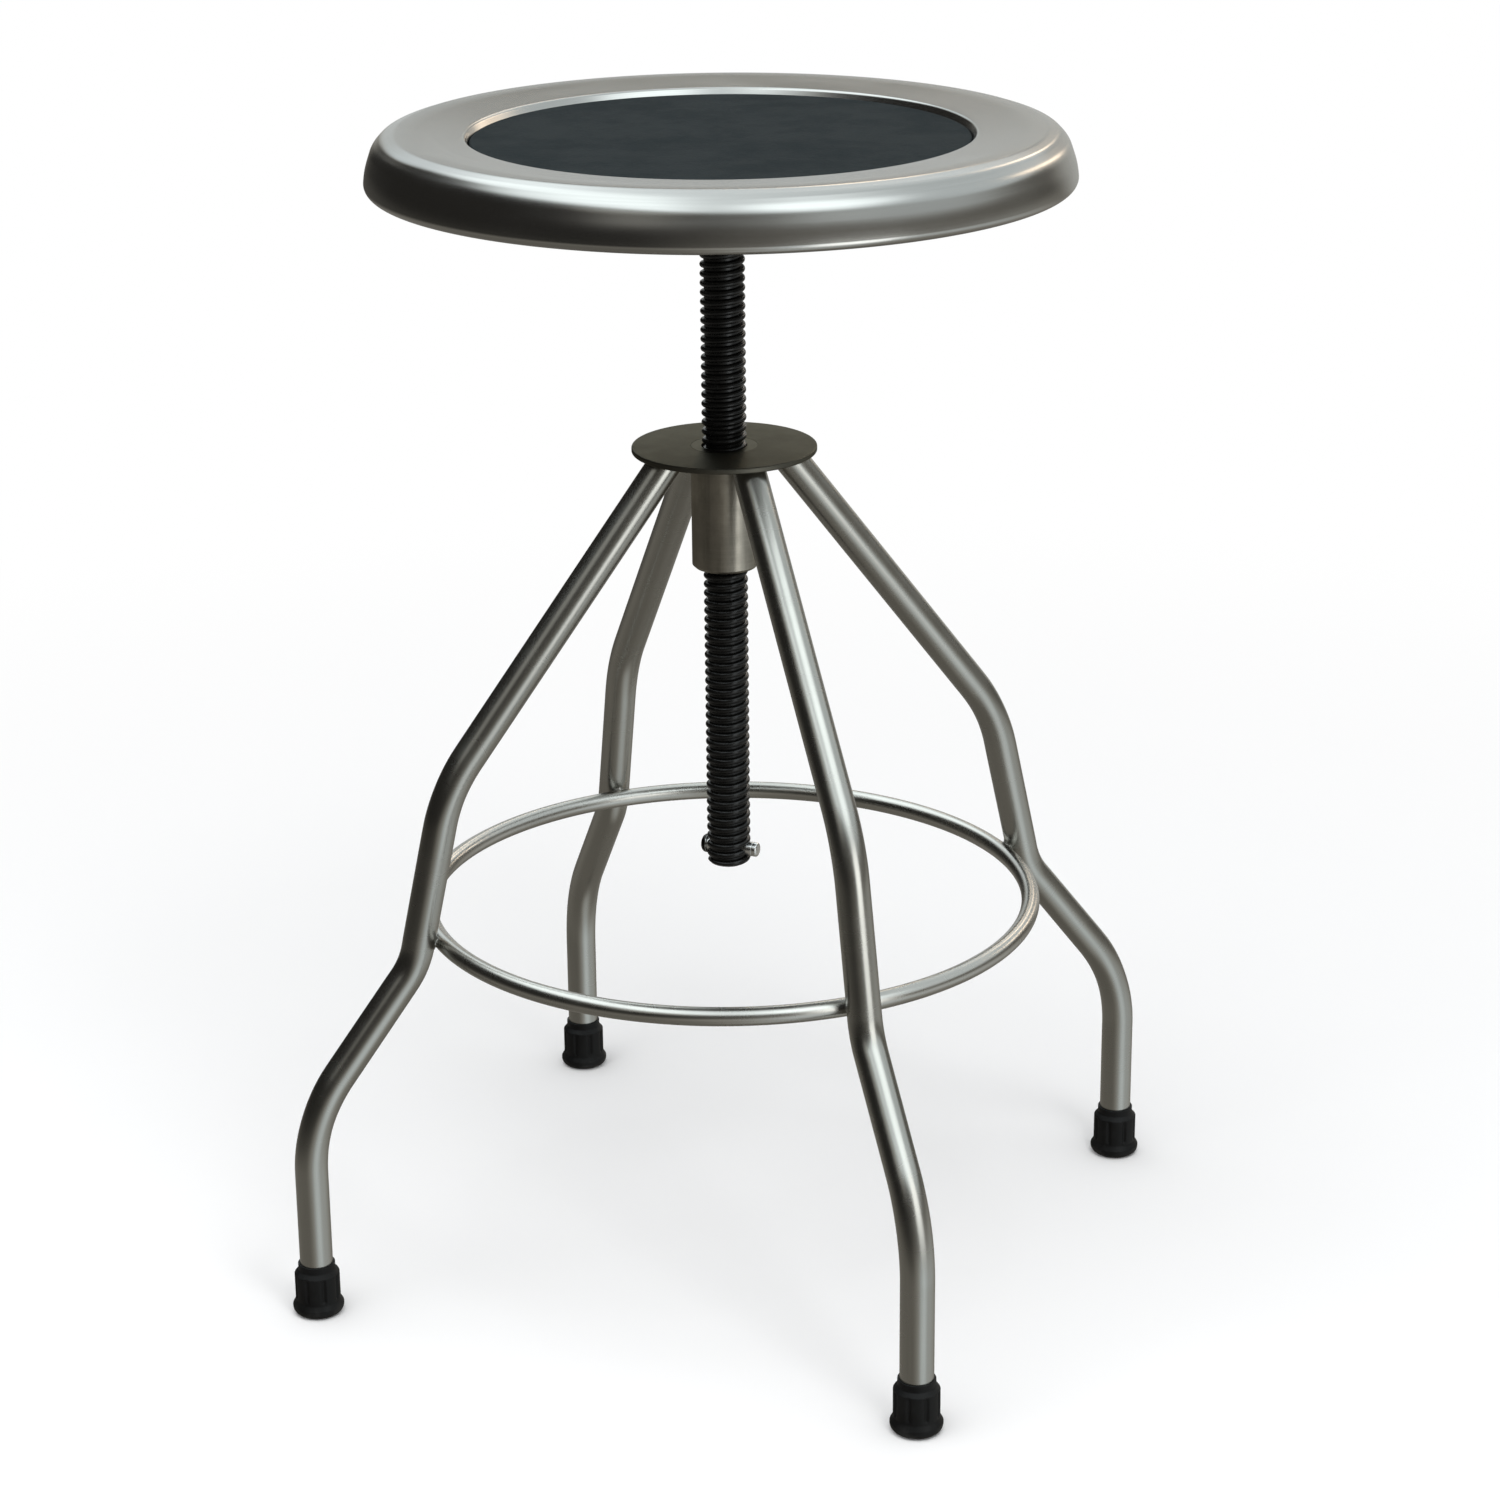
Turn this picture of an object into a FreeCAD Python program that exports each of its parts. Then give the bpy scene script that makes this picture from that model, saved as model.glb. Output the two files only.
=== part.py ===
import FreeCAD, Part

import math
import os

# Exam stool: a round steel seat on a lifting screw, carried by four bent tube legs with a foot ring.
# Frame: +Z up, origin on the floor under the screw's axis, legs on the diagonals. Units are millimetres.

V = FreeCAD.Vector

# Seat pan, pressed from one sheet, with its rim rolled under
SEAT_HEIGHT = 634.0        # floor to the crown of the seat, at the setting modelled
SEAT_DIAMETER = 370.0
PAN_SHEET = 1.2
PAN_DEPTH = 29.0           # crown to the underside of the rolled rim
UPPER_FLARE = 19.0         # degrees that the skirt leans out from vertical, above its bend
LOWER_FLARE = 6.0          # below its bend
SKIRT_BEND_HEIGHT = 10.0   # bend above the underside of the rim
SHOULDER_WIDTH = 11.5      # edge of the crown to the top of the skirt, across and down
SHOULDER_DROP = 7.4
BREAK_WIDTH = 6.3          # edge of the crown to the break in the shoulder, across and down
BREAK_DROP = 2.0
CROWN_WIDTH = 8.0          # level band inside the edge of the crown, before rounding
CROWN_RISE = 2.4           # crown above the lip of the recess
RIM_ROLL = 4.0             # outer radius of the rolled rim
RIM_RETURN = 9.0           # inward reach of the rolled rim from its sharp corner
SKIRT_BEND_ROUND = 40.0
SKIRT_TOP_ROUND = 10.0
BREAK_ROUND = 12.0
CROWN_EDGE_ROUND = 18.0
CROWN_ROUND = 80.0
LIP_ROUND = 2.2
FLOOR_ROUND = 1.0

# Black seat pad, lying in the recess
PAD_DIAMETER = 262.0       # across its top face
PAD_THICKNESS = 4.0
PAD_RECESS = 2.5           # lip of the recess above the pad
PAD_GAP = 0.3
PAD_EDGE = 1.0
RECESS_DRAFT = 28.0        # degrees that the wall of the recess leans out from vertical

# Flange under the pan, with the socket that takes the screw
FLANGE_DIAMETER = 150.0
FLANGE_THICKNESS = 4.0
SOCKET_WALL = 8.0
SOCKET_LENGTH = 40.0
SOCKET_GAP = 0.05          # screw shank to socket bore, on the radius
SOCKET_PIN_DIAMETER = 6.0
SOCKET_PIN_DROP = 14.0     # flange underside to the axis of the pin

# Studs welded under the pan, with washers and nuts
STUD_COUNT = 4
STUD_DIAMETER = 6.0
STUD_CIRCLE = 116.0
STUD_HOLE_GAP = 0.4        # stud to flange hole, on the radius
STUD_PROUD = 2.0           # stud end below the nut
WASHER_DIAMETER = 12.5
WASHER_THICKNESS = 1.6
NUT_FLATS = 10.0
NUT_HEIGHT = 5.0

# Rubber washer under the socket, which cushions the lowest setting
BUMPER_THICKNESS = 4.0
BUMPER_GAP = 0.4           # screw to washer bore, on the radius

# Lifting screw, right-handed, with a trapezoidal thread
SCREW_DIAMETER = 24.0
SCREW_PITCH = 5.0
THREAD_DEPTH = 2.6
THREAD_FLANK = 15.0        # degrees from square to the axis
CREST_SHARE = 0.37         # width of the crest as a share of the pitch
CREST_BREAK = 0.45         # bevel along the crest's edges
THREAD_CLEARANCE = 0.3     # screw thread to collar thread, square to the faces
SCREW_END_BEVEL = 1.6
SHANK_DIAMETER = 22.0      # plain upper end, inside the socket
SCREW_BOTTOM = 226.5       # height of the screw's lower end

# Stop pin through the lower end of the screw
STOP_PIN_DIAMETER = 8.0
STOP_PIN_RISE = 8.5        # screw's lower end to the axis of the pin
STOP_PIN_TAIL = 5.5        # tail beyond the thread
STOP_PIN_BEVEL = 1.2
STOP_HEAD_DIAMETER = 10.5
STOP_HEAD_HEIGHT = 3.5
STOP_HEAD_ROUND = 2.8

# Hub: a threaded collar through a round plate
HUB_HEIGHT = 464.0         # top of the plate above the floor
HUB_PLATE_DIAMETER = 99.0
HUB_PLATE_THICKNESS = 3.0
HUB_PLATE_EDGE = 0.8
COLLAR_DIAMETER = 36.0
COLLAR_LENGTH = 67.0
COLLAR_BEVEL = 1.5

# Legs, bent from round tube
LEG_COUNT = 4
LEG_START = 45.0           # degrees from +X to the first leg
LEG_DIAMETER = 18.0
LEG_WALL = 1.5
LEG_COLLAR_GAP = 2.0       # collar to leg, under the plate
UPPER_SPLAY = 37.7         # degrees from vertical, hub to knee
MIDDLE_SPLAY = 12.7        # knee to waist
LOWER_SPLAY = 38.0         # waist to ankle; below the ankle the leg is vertical
KNEE_HEIGHT = 292.0        # heights where the straight runs would cross
WAIST_HEIGHT = 195.5
ANKLE_HEIGHT = 114.5
KNEE_BEND = 95.0           # centreline radii
WAIST_BEND = 45.0
ANKLE_BEND = 88.0

# Foot ring, a round rod welded to the insides of the legs
RING_ROD = 10.0
RING_BEND_GAP = 0.6        # ring's mid height above the start of the waist bend
WELD_RADIUS = 7.6          # reach of the weld from the point of contact

# Rubber tips, each with a steel washer under the tube's end
TIP_HEIGHT = 30.0
TIP_FLOOR = 7.0            # rubber under the washer
TIP_WASHER_THICKNESS = 1.5
TIP_WASHER_GAP = 0.3       # washer edge to tip bore
TIP_WALL = 3.3             # fluted barrel
TIP_RIM_WALL = 1.1
TIP_RIM_HEIGHT = 3.8
TIP_SHOULDER = 2.4         # height of the slope from the rim to the barrel
TIP_FLANGE_REACH = 1.7     # flange beyond the barrel
TIP_FLANGE_HEIGHT = 5.2
TIP_FLANGE_SLOPE = 3.0
TIP_FOOT_ROUND = 4.2
FLUTE_COUNT = 8
FLUTE_RADIUS = 2.6
FLUTE_DEPTH = 0.9
FLUTE_BOTTOM_GAP = 0.6     # foot of a flute above the flange's slope
FLUTE_TOP_GAP = 1.0        # head of a flute below the shoulder

# Making of the threads
HELIX_POINTS = 8           # interpolation points in one turn of a helix
SPARE_TURNS = 2            # turns made beyond each end of a thread, then trimmed off


def tan(degrees):
    return math.tan(math.radians(degrees))


def sin(degrees):
    return math.sin(math.radians(degrees))


def cos(degrees):
    return math.cos(math.radians(degrees))


# Heights and radii that follow
seat_radius = SEAT_DIAMETER / 2
lip_height = SEAT_HEIGHT - CROWN_RISE
pad_top = lip_height - PAD_RECESS
pan_floor = pad_top - PAD_THICKNESS
flange_top = pan_floor - PAN_SHEET
flange_bottom = flange_top - FLANGE_THICKNESS
washer_bottom = flange_bottom - WASHER_THICKNESS
nut_bottom = washer_bottom - NUT_HEIGHT
socket_bottom = flange_bottom - SOCKET_LENGTH
bumper_bottom = socket_bottom - BUMPER_THICKNESS
screw_radius = SCREW_DIAMETER / 2
socket_bore = SHANK_DIAMETER / 2 + SOCKET_GAP
socket_radius = socket_bore + SOCKET_WALL
socket_pin_height = flange_bottom - SOCKET_PIN_DROP
stop_pin_height = SCREW_BOTTOM + STOP_PIN_RISE
collar_radius = COLLAR_DIAMETER / 2
collar_bottom = HUB_HEIGHT - COLLAR_LENGTH
plate_bottom = HUB_HEIGHT - HUB_PLATE_THICKNESS
leg_radius = LEG_DIAMETER / 2
tip_bore = leg_radius
leg_bottom = TIP_FLOOR + TIP_WASHER_THICKNESS

# Room for the seat's lift: down until the rubber washer meets the hub, up until the pin meets the collar
stop_pin_top = stop_pin_height + max(STOP_PIN_DIAMETER, STOP_HEAD_DIAMETER) / 2
lift_down = bumper_bottom - HUB_HEIGHT
lift_up = collar_bottom - stop_pin_top

# Centreline of a leg in its own upright plane, as (radius, height) points
top_radius = collar_radius + LEG_COLLAR_GAP + leg_radius / cos(UPPER_SPLAY)
knee_radius = top_radius + (plate_bottom - KNEE_HEIGHT) * tan(UPPER_SPLAY)
waist_radius = knee_radius + (KNEE_HEIGHT - WAIST_HEIGHT) * tan(MIDDLE_SPLAY)
ankle_radius = waist_radius + (WAIST_HEIGHT - ANKLE_HEIGHT) * tan(LOWER_SPLAY)
foot_radius = ankle_radius

# The ring touches the straight run of each leg just above the waist bend
waist_tangent = WAIST_BEND * tan((LOWER_SPLAY - MIDDLE_SPLAY) / 2)
ring_height = WAIST_HEIGHT + waist_tangent * cos(MIDDLE_SPLAY) + RING_BEND_GAP
leg_radius_at_ring = waist_radius - (ring_height - WAIST_HEIGHT) * tan(MIDDLE_SPLAY)
ring_radius = leg_radius_at_ring - (leg_radius + RING_ROD / 2) / cos(MIDDLE_SPLAY)


def flat(points):
    """(radius, height) pairs as points of the XZ plane."""
    return [V(r, 0, z) for r, z in points]


def rounded_edges(points, radii):
    """Straight runs through the points, with an arc of each radius in place of each inner corner."""
    edges = []
    start = points[0]
    for before, corner, after, radius in zip(points, points[1:], points[2:], radii):
        back = (before - corner).normalize()
        on = (after - corner).normalize()
        turn = math.pi - back.getAngle(on)
        reach = radius * math.tan(turn / 2)
        arc_start = corner + back * reach
        arc_end = corner + on * reach
        middle = corner + (back + on).normalize() * (radius / math.cos(turn / 2) - radius)
        edges.append(Part.LineSegment(start, arc_start).toShape())
        edges.append(Part.Arc(arc_start, middle, arc_end).toShape())
        start = arc_end
    edges.append(Part.LineSegment(start, points[-1]).toShape())
    return edges


def closed_face(edges):
    return Part.Face(Part.Wire(Part.__sortEdges__(edges)))


def turned(edges):
    """Solid of revolution about Z from the edges of a closed outline in the XZ plane."""
    return closed_face(edges).revolve(V(0, 0, 0), V(0, 0, 1), 360)


def turned_polygon(points):
    corners = flat(points)
    return turned([Part.LineSegment(a, b).toShape() for a, b in zip(corners, corners[1:] + corners[:1])])


def ring_of(shape, count, start=0.0):
    """Copies of a shape, evenly spaced about Z."""
    copies = []
    for i in range(count):
        copy = shape.copy()
        copy.rotate(V(0, 0, 0), V(0, 0, 1), start + 360.0 / count * i)
        copies.append(copy)
    return copies


def cylinder(radius, bottom, top):
    return Part.makeCylinder(radius, top - bottom, V(0, 0, bottom))


def shifted_outline(points, radii, distance):
    """The outline moved to its right by a distance, with its rounds kept parallel."""
    lines = []
    for a, b in zip(points, points[1:]):
        along = (b - a).normalize()
        right = V(along.z, 0, -along.x)
        lines.append((a + right * distance, b + right * distance, along, right))
    moved = [lines[0][0]]
    new_radii = []
    for (a, b, along, right), (c, d, on, _), radius in zip(lines, lines[1:], radii):
        share = (c - b).dot(right) / on.dot(right)
        moved.append(c - on * share)
        turns_left = on.dot(right) < 0
        new_radii.append(radius + distance if turns_left else radius - distance)
    moved.append(lines[-1][1])
    return moved, new_radii


def seat_pan():
    """A sheet turned about Z: floor, recess wall, crown, shoulder in two slopes, bent skirt and rolled rim."""
    rim_bottom = SEAT_HEIGHT - PAN_DEPTH
    rim_corner = seat_radius - RIM_ROLL + RIM_ROLL * (1 + sin(LOWER_FLARE)) / cos(LOWER_FLARE)
    bend_height = rim_bottom + SKIRT_BEND_HEIGHT
    bend_corner = rim_corner - SKIRT_BEND_HEIGHT * tan(LOWER_FLARE)
    skirt_top = SEAT_HEIGHT - SHOULDER_DROP
    skirt_corner = bend_corner - (skirt_top - bend_height) * tan(UPPER_FLARE)
    crown_corner = skirt_corner - SHOULDER_WIDTH
    lip_corner = PAD_DIAMETER / 2 + PAD_GAP + PAD_RECESS * tan(RECESS_DRAFT)
    floor_corner = lip_corner - (lip_height - pan_floor) * tan(RECESS_DRAFT)
    top = flat([
        (0, pan_floor),
        (floor_corner, pan_floor),
        (lip_corner, lip_height),
        (crown_corner - CROWN_WIDTH, SEAT_HEIGHT),
        (crown_corner, SEAT_HEIGHT),
        (crown_corner + BREAK_WIDTH, SEAT_HEIGHT - BREAK_DROP),
        (skirt_corner, skirt_top),
        (bend_corner, bend_height),
        (rim_corner, rim_bottom),
        (rim_corner - RIM_RETURN, rim_bottom),
    ])
    radii = [
        FLOOR_ROUND, LIP_ROUND, CROWN_ROUND, CROWN_EDGE_ROUND, BREAK_ROUND, SKIRT_TOP_ROUND, SKIRT_BEND_ROUND,
        RIM_ROLL,
    ]
    under, under_radii = shifted_outline(top, radii, PAN_SHEET)
    outline = rounded_edges(top, radii) + rounded_edges(under, under_radii)
    outline.append(Part.LineSegment(top[0], under[0]).toShape())
    outline.append(Part.LineSegment(top[-1], under[-1]).toShape())
    return turned(outline)


def seat_pad():
    """A flat mat whose side follows the wall of the recess."""
    top_radius_of_pad = PAD_DIAMETER / 2
    drawn_in = (PAD_THICKNESS - PAD_EDGE) * tan(RECESS_DRAFT)
    side = top_radius_of_pad - drawn_in
    return turned_polygon([
        (0, pan_floor),
        (side - PAD_EDGE, pan_floor),
        (side, pan_floor + PAD_EDGE),
        (top_radius_of_pad - PAD_EDGE * tan(RECESS_DRAFT), pad_top - PAD_EDGE),
        (top_radius_of_pad - PAD_EDGE, pad_top),
        (0, pad_top),
    ])


def stud_places():
    first = V(STUD_CIRCLE / 2, 0, 0)
    marker = Part.Vertex(first)
    return [copy.Point for copy in ring_of(marker, STUD_COUNT, 180.0 / STUD_COUNT)]


def at_studs(radius, bottom, top, bore=0.0):
    """A round piece, with a bore if one is given, at each stud."""
    pieces = []
    for place in stud_places():
        piece = cylinder(radius, bottom, top)
        if bore:
            piece = piece.cut(cylinder(bore, bottom, top))
        pieces.append(piece.translated(V(place.x, place.y, 0)))
    return pieces


def seat_flange():
    disc = cylinder(FLANGE_DIAMETER / 2, flange_bottom, flange_top)
    holes = at_studs(STUD_DIAMETER / 2 + STUD_HOLE_GAP, flange_bottom, flange_top)
    return disc.cut(Part.makeCompound(holes))


def seat_studs():
    return Part.makeCompound(at_studs(STUD_DIAMETER / 2, nut_bottom - STUD_PROUD, flange_top))


def stud_washers():
    bore = STUD_DIAMETER / 2 + STUD_HOLE_GAP
    return Part.makeCompound(at_studs(WASHER_DIAMETER / 2, washer_bottom, flange_bottom, bore))


def stud_nuts():
    corner_radius = NUT_FLATS / 2 / cos(30)
    bore = cylinder(STUD_DIAMETER / 2, nut_bottom, washer_bottom)
    corners = [V(corner_radius * cos(60 * i), corner_radius * sin(60 * i), nut_bottom) for i in range(7)]
    blank = Part.Face(Part.makePolygon(corners)).extrude(V(0, 0, NUT_HEIGHT))
    nut = blank.cut(bore)
    return Part.makeCompound([nut.translated(V(p.x, p.y, 0)) for p in stud_places()])


def cross_hole(diameter, height):
    reach = socket_radius + STOP_PIN_TAIL
    return Part.makeCylinder(diameter / 2, 2 * reach, V(-reach, 0, height), V(1, 0, 0))


def screw_socket():
    blank = cylinder(socket_radius, socket_bottom, flange_bottom)
    bored = blank.cut(cylinder(socket_bore, socket_bottom, flange_bottom))
    return bored.cut(cross_hole(SOCKET_PIN_DIAMETER, socket_pin_height))


def socket_pin():
    start = V(-socket_radius, 0, socket_pin_height)
    return Part.makeCylinder(SOCKET_PIN_DIAMETER / 2, 2 * socket_radius, start, V(1, 0, 0))


def bump_washer():
    blank = cylinder(socket_radius, bumper_bottom, socket_bottom)
    return blank.cut(cylinder(screw_radius + BUMPER_GAP, bumper_bottom, socket_bottom))


def helix_turn(radius, start_height):
    """One right-handed turn of a helix, as a curve through evenly spaced points."""
    angles = [2 * math.pi * i / HELIX_POINTS for i in range(HELIX_POINTS + 1)]
    slope = SCREW_PITCH / (2 * math.pi)
    points = [V(radius * math.cos(a), radius * math.sin(a), start_height + slope * a) for a in angles]
    tangent = V(0, radius, slope)
    curve = Part.BSplineCurve()
    curve.interpolate(
        Points=points, Parameters=angles, InitialTangent=tangent, FinalTangent=tangent, Scale=False)
    return curve.toShape()


def thread_profile(grown):
    """(radius, height within one pitch) of the thread, its ridge grown by a distance on every face."""
    root = screw_radius - THREAD_DEPTH + grown
    crest = screw_radius + grown
    widening = grown / cos(THREAD_FLANK) - grown * tan(THREAD_FLANK)
    crest_half = CREST_SHARE * SCREW_PITCH / 2 + widening
    root_half = crest_half + THREAD_DEPTH * tan(THREAD_FLANK)
    bevel_half = crest_half + CREST_BREAK * tan(THREAD_FLANK)
    middle = SCREW_PITCH / 2
    return [
        (root, middle - root_half),
        (crest - CREST_BREAK, middle - bevel_half),
        (crest, middle - crest_half + CREST_BREAK),
        (crest, middle + crest_half - CREST_BREAK),
        (crest - CREST_BREAK, middle + bevel_half),
        (root, middle + root_half),
    ]


def thread_end(profile, height):
    """Helical and upright faces that close a thread, from the axis out to its root helix."""
    root, first_height = profile[0]
    low = V(0, 0, height + first_height)
    high = low + V(0, 0, SCREW_PITCH)
    axis = Part.LineSegment(low, high).toShape()
    helix = helix_turn(root, height + first_height)
    steps = [V(r, 0, height + h) for r, h in profile]
    steps.append(steps[0] + V(0, 0, SCREW_PITCH))
    outline = Part.makePolygon([low] + steps + [high, low])
    return [Part.makeRuledSurface(axis, helix), Part.Face(outline)]


def threaded_rod(grown, bottom, top):
    """Solid inside a thread surface, at least as long as asked. Its turns keep the screw's phase."""
    profile = thread_profile(grown)
    first = math.floor((bottom - SCREW_BOTTOM) / SCREW_PITCH) - SPARE_TURNS
    last = math.ceil((top - SCREW_BOTTOM) / SCREW_PITCH) + SPARE_TURNS
    faces = thread_end(profile, SCREW_BOTTOM + first * SCREW_PITCH)
    for turn in range(first, last):
        base = SCREW_BOTTOM + turn * SCREW_PITCH
        root, first_height = profile[0]
        lines = [helix_turn(r, base + h) for r, h in profile]
        lines.append(helix_turn(root, base + SCREW_PITCH + first_height))
        faces += [Part.makeRuledSurface(a, b) for a, b in zip(lines, lines[1:])]
    faces += thread_end(profile, SCREW_BOTTOM + last * SCREW_PITCH)
    shell = Part.makeCompound(faces)
    shell.sewShape()
    solid = Part.Solid(shell.Shells[0])
    if solid.Volume < 0:
        solid.reverse()
    return solid


def lift_screw():
    envelope = turned_polygon([
        (0, SCREW_BOTTOM),
        (screw_radius - SCREW_END_BEVEL, SCREW_BOTTOM),
        (screw_radius + SCREW_END_BEVEL, SCREW_BOTTOM + 2 * SCREW_END_BEVEL),
        (screw_radius + SCREW_END_BEVEL, socket_bottom),
        (0, socket_bottom),
    ])
    thread = threaded_rod(0.0, SCREW_BOTTOM, socket_bottom).common(envelope)
    shank = cylinder(SHANK_DIAMETER / 2, socket_bottom, flange_bottom)
    screw = thread.fuse(shank)
    screw = screw.cut(cross_hole(STOP_PIN_DIAMETER, stop_pin_height))
    return screw.cut(cross_hole(SOCKET_PIN_DIAMETER, socket_pin_height)).removeSplitter()


def stop_pin():
    """Pin along X, with a low rounded head on its -X end and a bevelled tail on its +X end."""
    radius = STOP_PIN_DIAMETER / 2
    head_radius = STOP_HEAD_DIAMETER / 2
    tail = screw_radius + STOP_PIN_TAIL
    crown = -screw_radius - STOP_HEAD_HEIGHT
    outline = flat([
        (0, crown),
        (head_radius, crown),
        (head_radius, -screw_radius),
        (radius, -screw_radius),
        (radius, tail - STOP_PIN_BEVEL),
        (radius - STOP_PIN_BEVEL, tail),
        (0, tail),
    ])
    edges = rounded_edges(outline[:3], [STOP_HEAD_ROUND])
    edges += [Part.LineSegment(a, b).toShape() for a, b in zip(outline[2:], outline[3:] + outline[:1])]
    pin = turned(edges)
    pin.rotate(V(0, 0, 0), V(0, 1, 0), 90)
    return pin.translated(V(0, 0, stop_pin_height))


def hub_plate():
    disc = cylinder(HUB_PLATE_DIAMETER / 2, plate_bottom, HUB_HEIGHT)
    disc = disc.makeFillet(HUB_PLATE_EDGE, [e for e in disc.Edges if len(e.Vertexes) == 1])
    return disc.cut(cylinder(collar_radius, plate_bottom, HUB_HEIGHT))


def hub_collar():
    blank = turned_polygon([
        (0, collar_bottom),
        (collar_radius - COLLAR_BEVEL, collar_bottom),
        (collar_radius, collar_bottom + COLLAR_BEVEL),
        (collar_radius, HUB_HEIGHT),
        (0, HUB_HEIGHT),
    ])
    return blank.cut(threaded_rod(THREAD_CLEARANCE, collar_bottom, HUB_HEIGHT))


def rod_along(points, radii, radius):
    """Round rod whose centreline has straight runs and round bends in the XZ plane."""
    pieces = []
    for edge in rounded_edges(points, radii):
        start = edge.valueAt(edge.FirstParameter)
        along = edge.tangentAt(edge.FirstParameter)
        section = Part.Face(Part.Wire(Part.makeCircle(radius, start, along)))
        if hasattr(edge.Curve, "Radius"):
            arc = edge.Curve
            swing = math.degrees(edge.Length / arc.Radius)
            pieces.append(section.revolve(arc.Center, arc.Axis, swing))
        else:
            pieces.append(section.extrude(along * edge.Length))
    return pieces[0].multiFuse(pieces[1:]).removeSplitter()


def leg_rod(radius):
    """Rod on a leg's centreline in the XZ plane, its upper end level with the hub plate's underside."""
    over = LEG_DIAMETER
    points = flat([
        (top_radius - over * tan(UPPER_SPLAY), plate_bottom + over),
        (knee_radius, KNEE_HEIGHT),
        (waist_radius, WAIST_HEIGHT),
        (ankle_radius, ANKLE_HEIGHT),
        (foot_radius, leg_bottom),
    ])
    rod = rod_along(points, [KNEE_BEND, WAIST_BEND, ANKLE_BEND], radius)
    return rod.cut(cylinder(knee_radius, plate_bottom, plate_bottom + 2 * over))


def leg_tube():
    return leg_rod(leg_radius).cut(leg_rod(leg_radius - LEG_WALL))


def foot_ring():
    return Part.makeTorus(ring_radius, RING_ROD / 2, V(0, 0, ring_height))


def ring_weld():
    """Weld metal round the point where the ring meets a leg, between the two surfaces."""
    reach = RING_ROD / 2
    contact = V(ring_radius + reach * cos(MIDDLE_SPLAY), 0, ring_height + reach * sin(MIDDLE_SPLAY))
    return Part.makeSphere(WELD_RADIUS, contact).cut(leg_rod(leg_radius)).cut(foot_ring())


def tip_blank():
    """Outline of a tip, turned about Z: a flange, a barrel, a shoulder and a thin rim round the tube."""
    barrel = tip_bore + TIP_WALL
    flange = barrel + TIP_FLANGE_REACH
    rim = tip_bore + TIP_RIM_WALL
    rim_bottom = TIP_HEIGHT - TIP_RIM_HEIGHT
    outer = flat([
        (0, 0),
        (flange, 0),
        (flange, TIP_FLANGE_HEIGHT),
        (barrel, TIP_FLANGE_HEIGHT + TIP_FLANGE_SLOPE),
        (barrel, rim_bottom - TIP_SHOULDER),
        (rim, rim_bottom),
        (rim, TIP_HEIGHT),
        (tip_bore, TIP_HEIGHT),
        (tip_bore, TIP_FLOOR),
        (0, TIP_FLOOR),
    ])
    foot = rounded_edges(outer[:3], [TIP_FOOT_ROUND])
    rest = [Part.LineSegment(a, b).toShape() for a, b in zip(outer[2:], outer[3:] + outer[:1])]
    return turned(foot + rest)


def foot_tip():
    barrel = tip_bore + TIP_WALL
    low = TIP_FLANGE_HEIGHT + TIP_FLANGE_SLOPE + FLUTE_BOTTOM_GAP + FLUTE_RADIUS
    high = TIP_HEIGHT - TIP_RIM_HEIGHT - TIP_SHOULDER - FLUTE_TOP_GAP - FLUTE_RADIUS
    place = V(barrel + FLUTE_RADIUS - FLUTE_DEPTH, 0, low)
    flute = Part.makeCylinder(FLUTE_RADIUS, high - low, place)
    ends = [Part.makeSphere(FLUTE_RADIUS, place), Part.makeSphere(FLUTE_RADIUS, V(place.x, 0, high))]
    cutter = flute.multiFuse(ends).removeSplitter()
    return tip_blank().cut(Part.makeCompound(ring_of(cutter, FLUTE_COUNT)))


def tip_washer():
    return cylinder(tip_bore - TIP_WASHER_GAP, TIP_FLOOR, leg_bottom)


def at_feet(shape):
    """A copy of a foot piece under each leg."""
    return ring_of(shape.translated(V(foot_radius, 0, 0)), LEG_COUNT, LEG_START)


def main():
    nodes = {
        "seat_pan": seat_pan(),
        "seat_pad": seat_pad(),
        "seat_flange": seat_flange(),
        "seat_studs": seat_studs(),
        "stud_washers": stud_washers(),
        "stud_nuts": stud_nuts(),
        "screw_socket": screw_socket(),
        "socket_pin": socket_pin(),
        "lift_screw": lift_screw(),
        "stop_pin": stop_pin(),
        "bump_washer": bump_washer(),
        "hub_plate": hub_plate(),
        "hub_collar": hub_collar(),
        "foot_ring": foot_ring(),
        "ring_welds": Part.makeCompound(ring_of(ring_weld(), LEG_COUNT, LEG_START)),
    }
    legs = ring_of(leg_tube(), LEG_COUNT, LEG_START)
    feet = zip(legs, at_feet(foot_tip()), at_feet(tip_washer()))
    for number, (leg, tip, washer) in enumerate(feet, start=1):
        nodes[f"leg_{number}"] = leg
        nodes[f"foot_tip_{number}"] = tip
        nodes[f"tip_washer_{number}"] = washer
    os.makedirs("parts", exist_ok=True)
    for name, shape in nodes.items():
        shape.exportStep(f"parts/{name}.step")
        print(f"{name}: {len(shape.Solids)} solids, {shape.Volume / 1000:.2f} cm3, valid {shape.isValid()}")
    print(f"lift {-lift_down:.2f} to {lift_up:.2f} mm, {SCREW_PITCH} mm a turn")
    print(f"ring radius {ring_radius:.3f} height {ring_height:.3f}, foot radius {foot_radius:.3f}")


main()
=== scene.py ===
import math

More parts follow.
